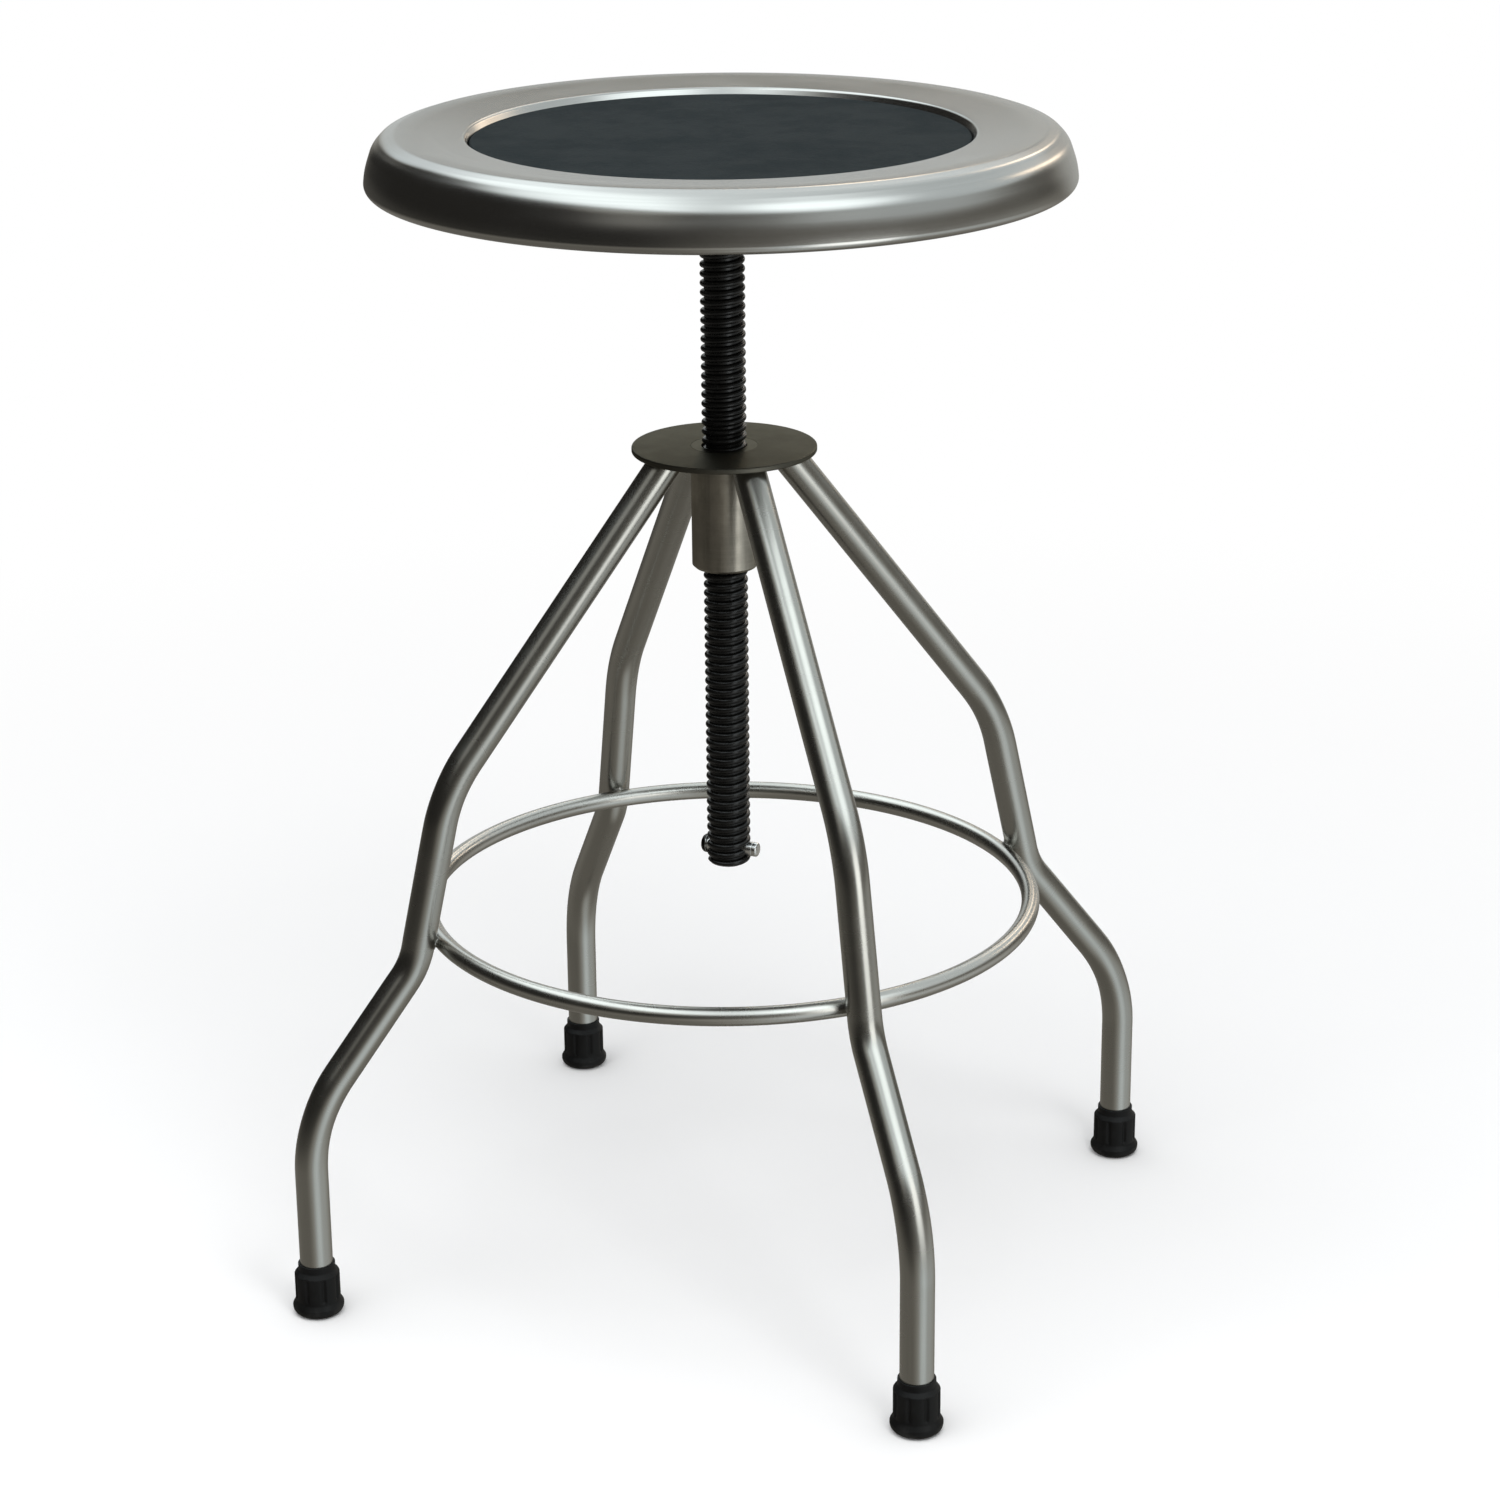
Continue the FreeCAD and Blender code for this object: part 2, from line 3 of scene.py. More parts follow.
import bmesh
import bpy
import numpy as np
from bpy.props import FloatProperty, FloatVectorProperty, IntProperty, PointerProperty
from mathutils import Matrix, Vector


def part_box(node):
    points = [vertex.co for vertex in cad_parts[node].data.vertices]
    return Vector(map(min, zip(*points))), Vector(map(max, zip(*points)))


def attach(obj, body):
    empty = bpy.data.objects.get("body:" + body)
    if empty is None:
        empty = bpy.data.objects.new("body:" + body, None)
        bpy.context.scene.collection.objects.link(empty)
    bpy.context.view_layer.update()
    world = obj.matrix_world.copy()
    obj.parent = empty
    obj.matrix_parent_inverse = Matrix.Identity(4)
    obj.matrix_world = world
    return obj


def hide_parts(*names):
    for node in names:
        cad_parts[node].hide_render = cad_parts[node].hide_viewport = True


bl_info = {
    "name": "Exam stool",
    "version": (1, 0, 0),
    "blender": (4, 5, 0),
    "location": "3D View > Sidebar > Stool",
    "description": "Dresses a screw-lift exam stool: pan, pad, screw, hub, legs, foot ring and tips",
    "category": "Object",
}

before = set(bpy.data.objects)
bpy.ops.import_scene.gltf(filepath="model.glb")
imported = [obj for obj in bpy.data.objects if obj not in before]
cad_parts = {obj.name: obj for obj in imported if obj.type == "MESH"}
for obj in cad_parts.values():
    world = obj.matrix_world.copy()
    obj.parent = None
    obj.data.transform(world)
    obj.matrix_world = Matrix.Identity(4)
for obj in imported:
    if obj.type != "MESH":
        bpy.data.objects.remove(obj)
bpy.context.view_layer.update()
MM = 0.001

# Places that the frame gives, in metres
PAN_LOW, PAN_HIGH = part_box("seat_pan")
PAD_LOW, PAD_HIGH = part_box("seat_pad")
FLANGE_LOW, FLANGE_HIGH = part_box("seat_flange")
SOCKET_LOW, SOCKET_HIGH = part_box("screw_socket")
BUMPER_LOW, BUMPER_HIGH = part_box("bump_washer")
WASHER_LOW, WASHER_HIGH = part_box("stud_washers")
NUT_LOW, NUT_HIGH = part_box("stud_nuts")
STUD_LOW, STUD_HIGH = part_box("seat_studs")
SOCKET_PIN_LOW, SOCKET_PIN_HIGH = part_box("socket_pin")
SCREW_LOW, SCREW_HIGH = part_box("lift_screw")
PIN_LOW, PIN_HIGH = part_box("stop_pin")
PLATE_LOW, PLATE_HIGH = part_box("hub_plate")
COLLAR_LOW, COLLAR_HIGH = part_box("hub_collar")
RING_LOW, RING_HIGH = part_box("foot_ring")
TIP_LOW, TIP_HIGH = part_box("foot_tip_1")
LEG_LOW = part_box("leg_1")[0]

LEG_COUNT = 4
LEG_ANGLES = [math.radians(45 + 90 * i) for i in range(LEG_COUNT)]
FOOT_RADIUS = math.hypot(TIP_LOW.x + TIP_HIGH.x, TIP_LOW.y + TIP_HIGH.y) / 2
RING_ROD = (RING_HIGH.z - RING_LOW.z) / 2
RING_RADIUS = RING_HIGH.x - RING_ROD
RING_HEIGHT = (RING_HIGH.z + RING_LOW.z) / 2

# Sizes of the fastenings under the seat
STUD_RADIUS = 3 * MM
WASHER_HOLE = 3.4 * MM
WASHER_RADIUS = 6.25 * MM
NUT_FLATS = 10 * MM
SOCKET_BORE = 11.05 * MM
BUMPER_BORE = 12.4 * MM

# Ends of the strip lamps that the metal mirrors, as degrees aside and above the level, and their half widths
STRIP_ENDS = (((6, 25), (6, 33)), ((18, 19), (28, 35)), ((33, 10), (58, 24)))
STRIP_CORE = 0.02
STRIP_EDGE = 0.05


def length(name, description, value):
    """A length property in metres."""
    return FloatProperty(name=name, description=description, default=value, precision=5, unit="LENGTH")


def angle(name, description, degrees):
    return FloatProperty(name=name, description=description, default=math.radians(degrees), unit="ROTATION")


def share(name, description, value):
    return FloatProperty(name=name, description=description, default=value, min=0.0, max=1.0,
                         subtype="FACTOR")


def level(name, description, value):
    return FloatProperty(name=name, description=description, default=value, min=0.0)


def colour(name, description, value):
    return FloatVectorProperty(name=name, description=description, default=value, size=3, subtype="COLOR",
                               min=0.0, max=1.0)


class SeatSettings(bpy.types.PropertyGroup):
    """Sizes and finishes of the seat pan, its pad and what is bolted under it."""

    pan_sheet: length("Sheet", "Thickness of the pressed pan", 1.2 * MM)
    upper_flare: angle("Upper flare", "Lean of the skirt's upper half from vertical", 19)
    lower_flare: angle("Lower flare", "Lean of the skirt's lower half from vertical", 6)
    skirt_bend: length("Skirt bend", "Height of the skirt's bend above the rim's underside", 10 * MM)
    skirt_bend_round: length("Skirt bend round", "Round at the skirt's bend", 40 * MM)
    shoulder_width: length("Shoulder width", "Crown's edge to the top of the skirt, across", 11.5 * MM)
    shoulder_drop: length("Shoulder drop", "Crown's edge to the top of the skirt, down", 7.4 * MM)
    break_width: length("Break width", "Crown's edge to the break in the shoulder, across", 6.3 * MM)
    break_drop: length("Break drop", "Crown's edge to the break in the shoulder, down", 2.0 * MM)
    crown_edge_round: length("Crown edge round", "Round along the crown's edge", 9 * MM)
    break_round: length("Break round", "Round along the break in the shoulder", 8 * MM)
    skirt_top_round: length("Skirt top round", "Round along the top of the skirt", 14 * MM)
    rim_roll: length("Rim roll", "Outer radius of the rolled rim", 4 * MM)
    rim_return: length("Rim return", "Inward reach of the rolled rim", 9 * MM)
    crown_width: length("Crown width", "Level band inside the crown's edge", 8 * MM)
    crown_rise: length("Crown rise", "Crown above the lip of the recess", 2.4 * MM)
    crown_round: length("Crown round", "Round where the top starts to fall to the lip", 80 * MM)
    lip_round: length("Lip round", "Round along the lip of the recess", 2.2 * MM)
    floor_round: length("Floor round", "Round along the floor of the recess", 1.0 * MM)
    pad_radius: length("Pad radius", "Radius of the pad's top face", 131 * MM)
    pad_gap: length("Pad gap", "Gap between the pad and the recess wall", 0.3 * MM)
    recess_draft: angle("Recess draft", "Lean of the recess wall from vertical", 28)
    pad_crown: length("Pad crown", "Rise of the pad's middle above its edge", 0.5 * MM)
    steel: colour("Pan steel", "Satin stainless sheet", (0.36, 0.355, 0.338))
    steel_roughness: share("Pan roughness", "Roughness of the satin sheet", 0.24)
    pad_colour: colour("Pad", "Matt mat in the recess", (0.0052, 0.0082, 0.0095))
    hardware: colour("Hardware", "Zinc-plated flange, nuts and socket", (0.46, 0.46, 0.44))


class ScrewSettings(bpy.types.PropertyGroup):
    """Sizes and finishes of the lifting screw, its stop pin and the hub."""

    pitch: length("Pitch", "Rise of the thread in one turn", 5 * MM)
    thread_depth: length("Thread depth", "Crest to root", 2.1 * MM)
    crest_half: share("Crest half", "Half the width of the rounded crest, as a share of the pitch", 0.37)
    end_bevel: length("End bevel", "Bevel at the screw's lower end", 1.6 * MM)
    pin_radius: length("Pin radius", "Radius of the stop pin's shank", 4 * MM)
    pin_head_height: length("Pin head", "Height of the pin's rounded head", 3.5 * MM)
    plate_edge: length("Plate edge", "Round along the hub plate's edge", 0.8 * MM)
    collar_bevel: length("Collar bevel", "Bevel at the collar's lower end", 1.5 * MM)
    collar_bore: length("Collar bore", "Radius of the collar's mouth", 12.35 * MM)
    # Also gives, five times brighter, the stop pin's head its painted dark reflection.
    black: colour("Black screw", "Blackened, lightly oiled steel", (0.0036, 0.0035, 0.0032))
    pin_steel: colour("Pin steel", "Bright turned steel", (0.58, 0.58, 0.57))
    plate_steel: colour("Plate steel", "Dull hub plate", (0.082, 0.078, 0.064))
    collar_steel: colour("Collar steel", "Dull machined collar", (0.30, 0.278, 0.238))


class LegSettings(bpy.types.PropertyGroup):
    """Sizes and finishes of the legs, the foot ring and the rubber tips."""

    tube_radius: length("Tube radius", "Radius of the leg tube", 9 * MM)
    collar_gap: length("Collar gap", "Collar to leg under the hub plate", 2 * MM)
    upper_splay: angle("Upper splay", "Lean of the run from hub to knee", 37.7)
    middle_splay: angle("Middle splay", "Lean of the run from knee to waist", 12.7)
    lower_splay: angle("Lower splay", "Lean of the run from waist to ankle", 38)
    knee_height: length("Knee height", "Where the upper and middle runs would cross", 292 * MM)
    waist_height: length("Waist height", "Where the middle and lower runs would cross", 195.5 * MM)
    ankle_height: length("Ankle height", "Where the lower run and the foot would cross", 114.5 * MM)
    knee_bend: length("Knee bend", "Centreline radius at the knee", 95 * MM)
    waist_bend: length("Waist bend", "Centreline radius at the waist", 45 * MM)
    ankle_bend: length("Ankle bend", "Centreline radius at the ankle", 88 * MM)
    flattening: share("Flattening", "How much a bend flattens the tube", 0.035)
    flute_count: IntProperty(name="Flutes", description="Flutes round a tip", default=8)
    flute_depth: length("Flute depth", "Depth of a flute in a tip", 1.1 * MM)
    steel: colour("Leg steel", "Satin stainless tube", (0.335, 0.328, 0.303))
    steel_roughness: share("Leg roughness", "Roughness of the satin tube", 0.26)
    ring_steel: colour("Ring steel", "Bright stainless rod", (0.39, 0.381, 0.355))
    rubber: colour("Rubber", "Moulded black rubber", (0.0045, 0.0045, 0.0044))


class StageSettings(bpy.types.PropertyGroup):
    """The camera, the floor and the light."""

    camera_azimuth: angle("Camera azimuth", "Camera's direction round the stool", 22.8)
    camera_distance: length("Camera distance", "Camera to the screw's axis along the floor", 1.8815)
    camera_height: length("Camera height", "Camera above the floor", 0.9678)
    camera_pitch: angle("Camera pitch", "How far the camera looks down", 19.78)
    camera_pan: angle("Camera pan", "How far the camera looks to the right", 0.37)
    camera_roll: angle("Camera roll", "Clockwise roll of the camera", 0.54)
    lens: FloatProperty(name="Lens", description="Focal length on a 36 mm sensor", default=87.5)
    floor: colour("Floor", "Pale floor", (0.94, 0.94, 0.94))
    fill_level: share("Fill level", "Even light from the whole room on what isn't metal", 0.72)
    left_level: share("Left level", "Brightness of the unlit room at the left, in the metal", 0.09)
    right_level: share("Right level", "Brightness of the room at the right, in the metal", 0.75)
    floor_level: share("Floor level", "Brightness of the floor, in the metal", 0.22)
    backdrop_level: level("Backdrop level", "Brightness of the backdrop, in the metal", 0.80)
    ceiling_level: level("Ceiling level", "Brightness of the ceiling, in the metal", 1.6)
    corner_level: level("Corner level", "Brightness of the corner behind at the left, in the metal", 1.3)
    glow_level: level("Glow level", "Brightness of the ceiling's low edge at the left, in the metal", 0.65)
    lamp_level: level("Lamp level", "Brightness of a lamp high in front at the right, in the metal", 2.0)
    window_level: level("Window level", "Brightness of the window's light on the floor, in the metal", 0.45)
    window_azimuth: angle("Window azimuth", "Direction of the window, to the right of the camera", 38)
    panel_level: level("Panel level", "Brightness of the upright panel, in the metal", 3.0)
    panel_distance: length("Panel distance", "Upright panel to the screw's axis", 0.73)
    panel_width: length("Panel width", "Width of the upright panel", 0.32)
    panel_top: length("Panel top", "Height of the upright panel", 0.56)
    strip_level: level("Strip level", "Brightness of the strip lamps behind at the right, in the metal", 4.0)
    overhead_watts: level("Overhead box", "Power of the overhead box", 27.0)
    front_watts: level("Front box", "Power of the front box", 7.0)


def settings():
    scene = bpy.context.scene
    return scene.stool_seat, scene.stool_screw, scene.stool_legs, scene.stool_stage


# Outlines and surfaces


def unit(vector):
    return vector / np.linalg.norm(vector)


def rounded_outline(corners, rounds, step=math.radians(5), support=0.35 * MM):
    """Points along straight runs through the corners, as (radius, height). Each inner corner becomes an arc
    tangent to both of its runs, with points at most a step apart, and each run has a point close to both
    ends, so that it shades flat."""
    corners = np.asarray(corners, float)
    arcs = [corners[:1]]
    for before, corner, after, radius in zip(corners, corners[1:], corners[2:], rounds):
        back = unit(before - corner)
        on = unit(after - corner)
        turn = math.pi - math.acos(np.clip(back @ on, -1, 1))
        centre = corner + unit(back + on) * radius / math.cos(turn / 2)
        spoke = corner + back * radius * math.tan(turn / 2) - centre
        side = np.sign(on[1] * back[0] - on[0] * back[1])
        swing = -side * np.linspace(0, turn, max(2, math.ceil(turn / step)) + 1)
        arcs.append(centre + np.stack([spoke[0] * np.cos(swing) - spoke[1] * np.sin(swing),
                                       spoke[0] * np.sin(swing) + spoke[1] * np.cos(swing)], 1))
    arcs.append(corners[-1:])
    pieces = [arcs[0]]
    for previous, following in zip(arcs, arcs[1:]):
        start, end = previous[-1], following[0]
        run = np.linalg.norm(end - start)
        if run > 1e-9:
            inset = (end - start) / run * min(support, run / 4)
            pieces.append(np.stack([start + inset, end - inset]))
        pieces.append(following)
    return np.concatenate(pieces)


def disc_outline(radius, high, low, rounds, support):
    """Outline of a solid disc, from its axis at one end to its axis at the other."""
    return rounded_outline([(0, high), (radius, high), (radius, low), (0, low)], rounds, support=support)


def band_outline(bore, radius, high, low, rounds, support):
    """Closed outline of a disc with a bore, from the bore's upper edge round and back to it."""
    corners = [(bore, high), (radius, high), (radius, low), (bore, low), (bore, high)]
    return rounded_outline(corners, rounds, support=support)


def shifted_corners(corners, rounds, distance):
    """Corners and rounds of the parallel outline that lies a distance to the right of the given one."""
    corners = np.asarray(corners, float)
    along = np.diff(corners, axis=0)
    along /= np.linalg.norm(along, axis=1)[:, None]
    right = np.stack([along[:, 1], -along[:, 0]], 1)
    starts = corners[:-1] + right * distance
    turn = np.sum(along[1:] * right[:-1], 1)
    slide = np.sum((starts[1:] - starts[:-1]) * right[:-1], 1) / turn
    inner = starts[1:] - along[1:] * slide[:, None]
    new_rounds = np.asarray(rounds, float) + np.where(turn < 0, distance, -distance)
    return np.concatenate([starts[:1], inner, corners[-1:] + right[-1:] * distance]), new_rounds


def run_length(line):
    """Distance along a line of points from its start."""
    return np.concatenate([[0.0], np.cumsum(np.linalg.norm(np.diff(line, axis=0), axis=1))])


def turned(outline, columns):
    """Grid of an outline turned about Z: (r cos a, r sin a, z) at evenly spaced angles a, with the distance
    along the outline as its first surface coordinate and x and y as the others."""
    angles = np.linspace(0, 2 * math.pi, columns, endpoint=False)
    r = outline[:, :1]
    height = np.broadcast_to(outline[:, 1:], (len(r), columns))
    points = np.stack([r * np.cos(angles), r * np.sin(angles), height], 2)
    along = np.stack([np.broadcast_to(run_length(outline)[:, None], points.shape[:2]),
                      points[..., 0], points[..., 1]], 2)
    return points, along


def tubed(centres, across, out, radius_across, radius_out, columns):
    """Grid of a tube: centre + across * ra * cos a + out * ro * sin a, at evenly spaced angles a. Its surface
    coordinates are the distance along the centreline and the place round the section."""
    angles = np.linspace(0, 2 * math.pi, columns, endpoint=False)
    ring_across = np.cos(angles)[None, :, None] * np.reshape(radius_across, (-1, 1, 1))
    ring_out = np.sin(angles)[None, :, None] * np.reshape(radius_out, (-1, 1, 1))
    points = centres[:, None] + across[:, None] * ring_across + out[:, None] * ring_out
    along = np.stack([np.broadcast_to(run_length(centres)[:, None], points.shape[:2]),
                      np.broadcast_to(ring_across[..., 0], points.shape[:2]),
                      np.broadcast_to(ring_out[..., 0], points.shape[:2])], 2)
    return points, along


def spun(points, turn):
    """Points turned about Z."""
    c, s = math.cos(turn), math.sin(turn)
    return points @ np.array([[c, s, 0], [-s, c, 0], [0, 0, 1]])


def grid_faces(rows, columns, wrap=True):
    """Four-sided faces of a grid of points, joined round its columns if it wraps."""
    index = np.arange(rows * columns).reshape(rows, columns)
    on = np.roll(index, -1, 1) if wrap else index[:, 1:]
    index = index if wrap else index[:, :-1]
    return np.stack([index[:-1], on[:-1], on[1:], index[1:]], 2).reshape(-1, 4)


def surface_piece(name, grids, material, body, replaced, wrap=True, sharp=math.radians(50)):
    """One object from grids of points and surface coordinates. Open ends are capped, doubles are merged,
    normals point outwards, and the surface coordinates are kept as the attribute that the finishes read."""
    vertices, attributes, faces, base = [], [], [], 0
    for points, along in grids:
        rows, columns = points.shape[:2]
        vertices.append(points.reshape(-1, 3))
        attributes.append(along.reshape(-1, 3))
        faces += (grid_faces(rows, columns, wrap) + base).tolist()
        closed = np.allclose(points[0], points[-1], atol=1e-7)
        ends = () if closed else (0, rows - 1)
        rim = np.arange(columns)
        for place, row in enumerate(ends):
            vertices.append(points[row].mean(0, keepdims=True))
            attributes.append(along[row].mean(0, keepdims=True))
            edge = base + row * columns + rim
            centre = np.full(columns, base + rows * columns + place)
            faces += np.stack([edge, np.roll(edge, -1), centre], 1).tolist()
        base += rows * columns + len(ends)
    mesh = bpy.data.meshes.new(name)
    mesh.from_pydata(np.concatenate(vertices).tolist(), [], faces)
    layer = mesh.attributes.new("along", "FLOAT_VECTOR", "POINT")
    layer.data.foreach_set("vector", np.concatenate(attributes).astype(np.float32).ravel())
    work = bmesh.new()
    work.from_mesh(mesh)
    bmesh.ops.remove_doubles(work, verts=work.verts, dist=2e-6)
    bmesh.ops.dissolve_degenerate(work, dist=1e-7, edges=work.edges)
    bmesh.ops.recalc_face_normals(work, faces=work.faces)
    work.to_mesh(mesh)
    work.free()
    mesh.shade_smooth()
    mesh.set_sharp_from_angle(angle=sharp)
    piece = bpy.data.objects.new(name, mesh)
    bpy.context.scene.collection.objects.link(piece)
    mesh.materials.append(material)
    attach(piece, body)
    if replaced:
        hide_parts(*replaced)
    return piece


# Finishes


class Nodes:
    """A node tree, and short ways to add and join its nodes."""

    def __init__(self, tree):
        self.tree = tree

    def add(self, kind, **inputs):
        node = self.tree.nodes.new(kind)
        for name, value in inputs.items():
            self.feed(node.inputs[name.replace("_", " ")], value)
        return node

    def feed(self, socket, value):
        if isinstance(value, bpy.types.NodeSocket):
            self.tree.links.new(value, socket)
        else:
            socket.default_value = value

    def spread(self, value, low, high, to_low, to_high):
        """A value carried smoothly from one range to another, and held at its ends."""
        node = self.add("ShaderNodeMapRange")
        node.interpolation_type = "SMOOTHSTEP"
        for socket, number in zip(node.inputs, (value, low, high, to_low, to_high)):
            self.feed(socket, number)
        return node.outputs["Result"]

    def faded(self, value, by, low, high, to_low, to_high):
        """A value times a factor that another value carries from one number to another."""
        return self.math("MULTIPLY", value, self.spread(by, low, high, to_low, to_high))

    def math(self, operation, a, b=0.0):
        node = self.add("ShaderNodeMath")
        node.operation = operation
        self.feed(node.inputs[0], a)
        self.feed(node.inputs[1], b)
        return node.outputs["Value"]

    def mixed(self, factor, a, b):
        node = self.add("ShaderNodeMix")
        node.data_type = "RGBA"
        self.feed(node.inputs["Factor"], factor)
        for socket, value in ((node.inputs[6], a), (node.inputs[7], b)):
            self.feed(socket, value if isinstance(value, bpy.types.NodeSocket) else (*value, 1.0))
        return node.outputs[2]

    def towards(self, vector, direction):
        """How far a vector points in a direction."""
        node = self.add("ShaderNodeVectorMath")
        node.operation = "DOT_PRODUCT"
        self.feed(node.inputs[0], vector)
        node.inputs[1].default_value = tuple(direction)
        return node.outputs["Value"]


class Finish(Nodes):
    """A node material with one principled shader."""

    def __init__(self, name, **sockets):
        self.material = bpy.data.materials.new(name)
        self.material.use_nodes = True
        super().__init__(self.material.node_tree)
        self.shader = self.tree.nodes["Principled BSDF"]
        for socket, value in sockets.items():
            self.shader.inputs[socket.replace("_", " ")].default_value = value
        self.place = self.add("ShaderNodeTexCoord").outputs["Object"]

    def along(self):
        """The piece's own surface coordinates."""
        node = self.add("ShaderNodeAttribute")
        node.attribute_name = "along"
        return node.outputs["Vector"]

    def stretched(self, vector, scale):
        node = self.add("ShaderNodeVectorMath")
        node.operation = "MULTIPLY"
        self.feed(node.inputs[0], vector)
        node.inputs[1].default_value = scale
        return node.outputs["Vector"]

    def noise(self, vector, scale=1.0, detail=3.0, roughness=0.55):
        node = self.add("ShaderNodeTexNoise", Vector=vector, Scale=scale, Detail=detail, Roughness=roughness)
        return node.outputs["Fac"]

    def cells(self, vector, scale):
        node = self.add("ShaderNodeTexVoronoi", Vector=vector, Scale=scale)
        return node.outputs["Distance"]

    def bump(self, heights):
        """Bump from pairs of height and depth in metres, one after another."""
        normal = None
        for value, depth in heights:
            node = self.add("ShaderNodeBump", Height=value, Strength=1.0, Distance=depth)
            if normal is not None:
                self.feed(node.inputs["Normal"], normal)
            normal = node.outputs["Normal"]
        self.feed(self.shader.inputs["Normal"], normal)

    def paint(self, value):
        self.feed(self.shader.inputs["Base Color"], value)

    def roughen(self, value):
        self.feed(self.shader.inputs["Roughness"], value)


def tinted(base, factor):
    return tuple(min(1.0, c * factor) for c in base)


def satin_steel(name, steel, roughness, grain):
    """Stainless steel with faint lines along its grain, faint smears and slight cloudiness."""
    f = Finish(name, Metallic=1.0)
    lines = f.noise(f.stretched(f.along(), grain), detail=2.0)
    clouds = f.noise(f.place, scale=9.0, detail=3.0)
    smears = f.noise(f.stretched(f.along(), (45, 16, 16)), detail=4.0, roughness=0.5)
    tone = f.math("ADD", f.math("MULTIPLY", lines, 0.5), f.math("MULTIPLY", clouds, 0.5))
    f.paint(f.mixed(f.spread(tone, 0.3, 0.7, 0.0, 1.0), tinted(steel, 0.96), tinted(steel, 1.04)))
    f.roughen(f.spread(smears, 0.25, 0.75, roughness - 0.02, roughness + 0.03))
    f.bump([(clouds, 0.02 * MM)])
    return f.material


def zinc_plate(name, zinc):
    """Dull plated steel with a grainy spangle and handling stains."""
    f = Finish(name, Metallic=1.0)
    grain = f.noise(f.place, scale=420.0, detail=3.0)
    stains = f.noise(f.place, scale=24.0, detail=5.0)
    base = f.mixed(f.spread(grain, 0.3, 0.7, 0.0, 1.0), tinted(zinc, 0.8), tinted(zinc, 1.1))
    f.paint(f.mixed(f.spread(stains, 0.5, 0.72, 0.0, 0.5), base, tinted(zinc, 0.55)))
    f.roughen(f.spread(stains, 0.3, 0.7, 0.34, 0.52))
    f.bump([(grain, 0.02 * MM)])
    return f.material


def dull_hub_steel(name, steel, roughness, streaks, top):
    """Machined steel under a thin brownish film, with streaks, turning marks and darker handling stains, and
    another tone near its top."""
    f = Finish(name, Metallic=1.0, Specular_Tint=(0.75, 0.74, 0.68, 1.0))
    turning = f.noise(f.stretched(f.along(), (700, 14, 14)), detail=3.0)
    film = f.noise(f.place, scale=38.0, detail=6.0, roughness=0.62)
    runs = f.noise(f.stretched(f.place, streaks), detail=3.0)
    base = f.mixed(f.spread(film, 0.34, 0.68, 0.0, 1.0), tinted(steel, 1.12), tinted(steel, 0.80))
    base = f.mixed(f.spread(runs, 0.42, 0.68, 0.0, 0.55), base, tinted(steel, 0.45))
    base = f.mixed(f.spread(turning, 0.45, 0.8, 0.0, 0.25), base, tinted(steel, 1.2))
    height = f.towards(f.place, (0, 0, 1))
    f.paint(f.mixed(f.spread(height, PLATE_LOW.z, PLATE_HIGH.z, 0.0, 1.0), base, top))
    f.roughen(f.spread(film, 0.3, 0.7, roughness - 0.04, roughness + 0.05))
    f.bump([(turning, 0.01 * MM), (film, 0.03 * MM)])
    return f.material


def black_oxide(name, black):
    """Blackened steel under a film of oil, with faint turning marks and a little grey on worn crests."""
    f = Finish(name, Specular_IOR_Level=0.25)
    film = f.noise(f.place, scale=140.0, detail=3.0)
    worn = f.noise(f.stretched(f.along(), (900, 120, 120)), detail=3.0)
    base = f.mixed(f.spread(film, 0.3, 0.7, 0.0, 1.0), tinted(black, 0.7), tinted(black, 1.3))
    f.paint(f.mixed(f.spread(worn, 0.6, 0.8, 0.0, 0.08), base, (0.05, 0.047, 0.042)))
    f.roughen(f.spread(film, 0.3, 0.7, 0.24, 0.30))
    f.bump([(film, 0.01 * MM)])
    return f.material


def matt_mat(name, dark):
    """Matt mat with a fine pebble grain, faint dust and slightly polished patches."""
    f = Finish(name, Specular_IOR_Level=0.06)
    pebbles = f.cells(f.place, 900.0)
    dust = f.noise(f.place, scale=26.0, detail=7.0, roughness=0.66)
    specks = f.spread(f.noise(f.place, scale=700.0, detail=2.0), 0.66, 0.80, 0.0, 1.0)
    base = f.mixed(f.spread(pebbles, 0.0, 0.6, 0.0, 1.0), tinted(dark, 0.72), tinted(dark, 1.22))
    base = f.mixed(f.spread(dust, 0.45, 0.75, 0.0, 0.012), base, (0.07, 0.075, 0.078))
    f.paint(f.mixed(f.math("MULTIPLY", specks, 0.08), base, (0.12, 0.125, 0.125)))
    f.roughen(f.spread(dust, 0.35, 0.7, 0.68, 0.78))
    f.bump([(pebbles, 0.10 * MM)])
    return f.material


def pin_steel(name, steel, black):
    """Bright turned steel, with faint turning marks, and its head at the -X end painted nearly black as a
    painted dark reflection.
    """
    f = Finish(name, Metallic=1.0)
    turning = f.noise(f.stretched(f.along(), (2600, 60, 60)), detail=3.0)
    stain = f.noise(f.place, scale=300.0, detail=4.0)
    bright = f.mixed(f.spread(stain, 0.4, 0.7, 0.0, 1.0), tinted(steel, 1.05), tinted(steel, 0.7))
    # Painted dark reflection: the head at the -X end is coloured nearly black, standing in for the dark room
    # that the bright steel mirrors there.
    head = f.spread(f.towards(f.place, (1, 0, 0)), -12.6 * MM, -12.2 * MM, 1.0, 0.0)
    f.paint(f.mixed(head, bright, tinted(black, 5.0)))
    f.roughen(f.spread(stain, 0.3, 0.7, 0.20, 0.32))
    f.bump([(turning, 0.003 * MM)])
    return f.material


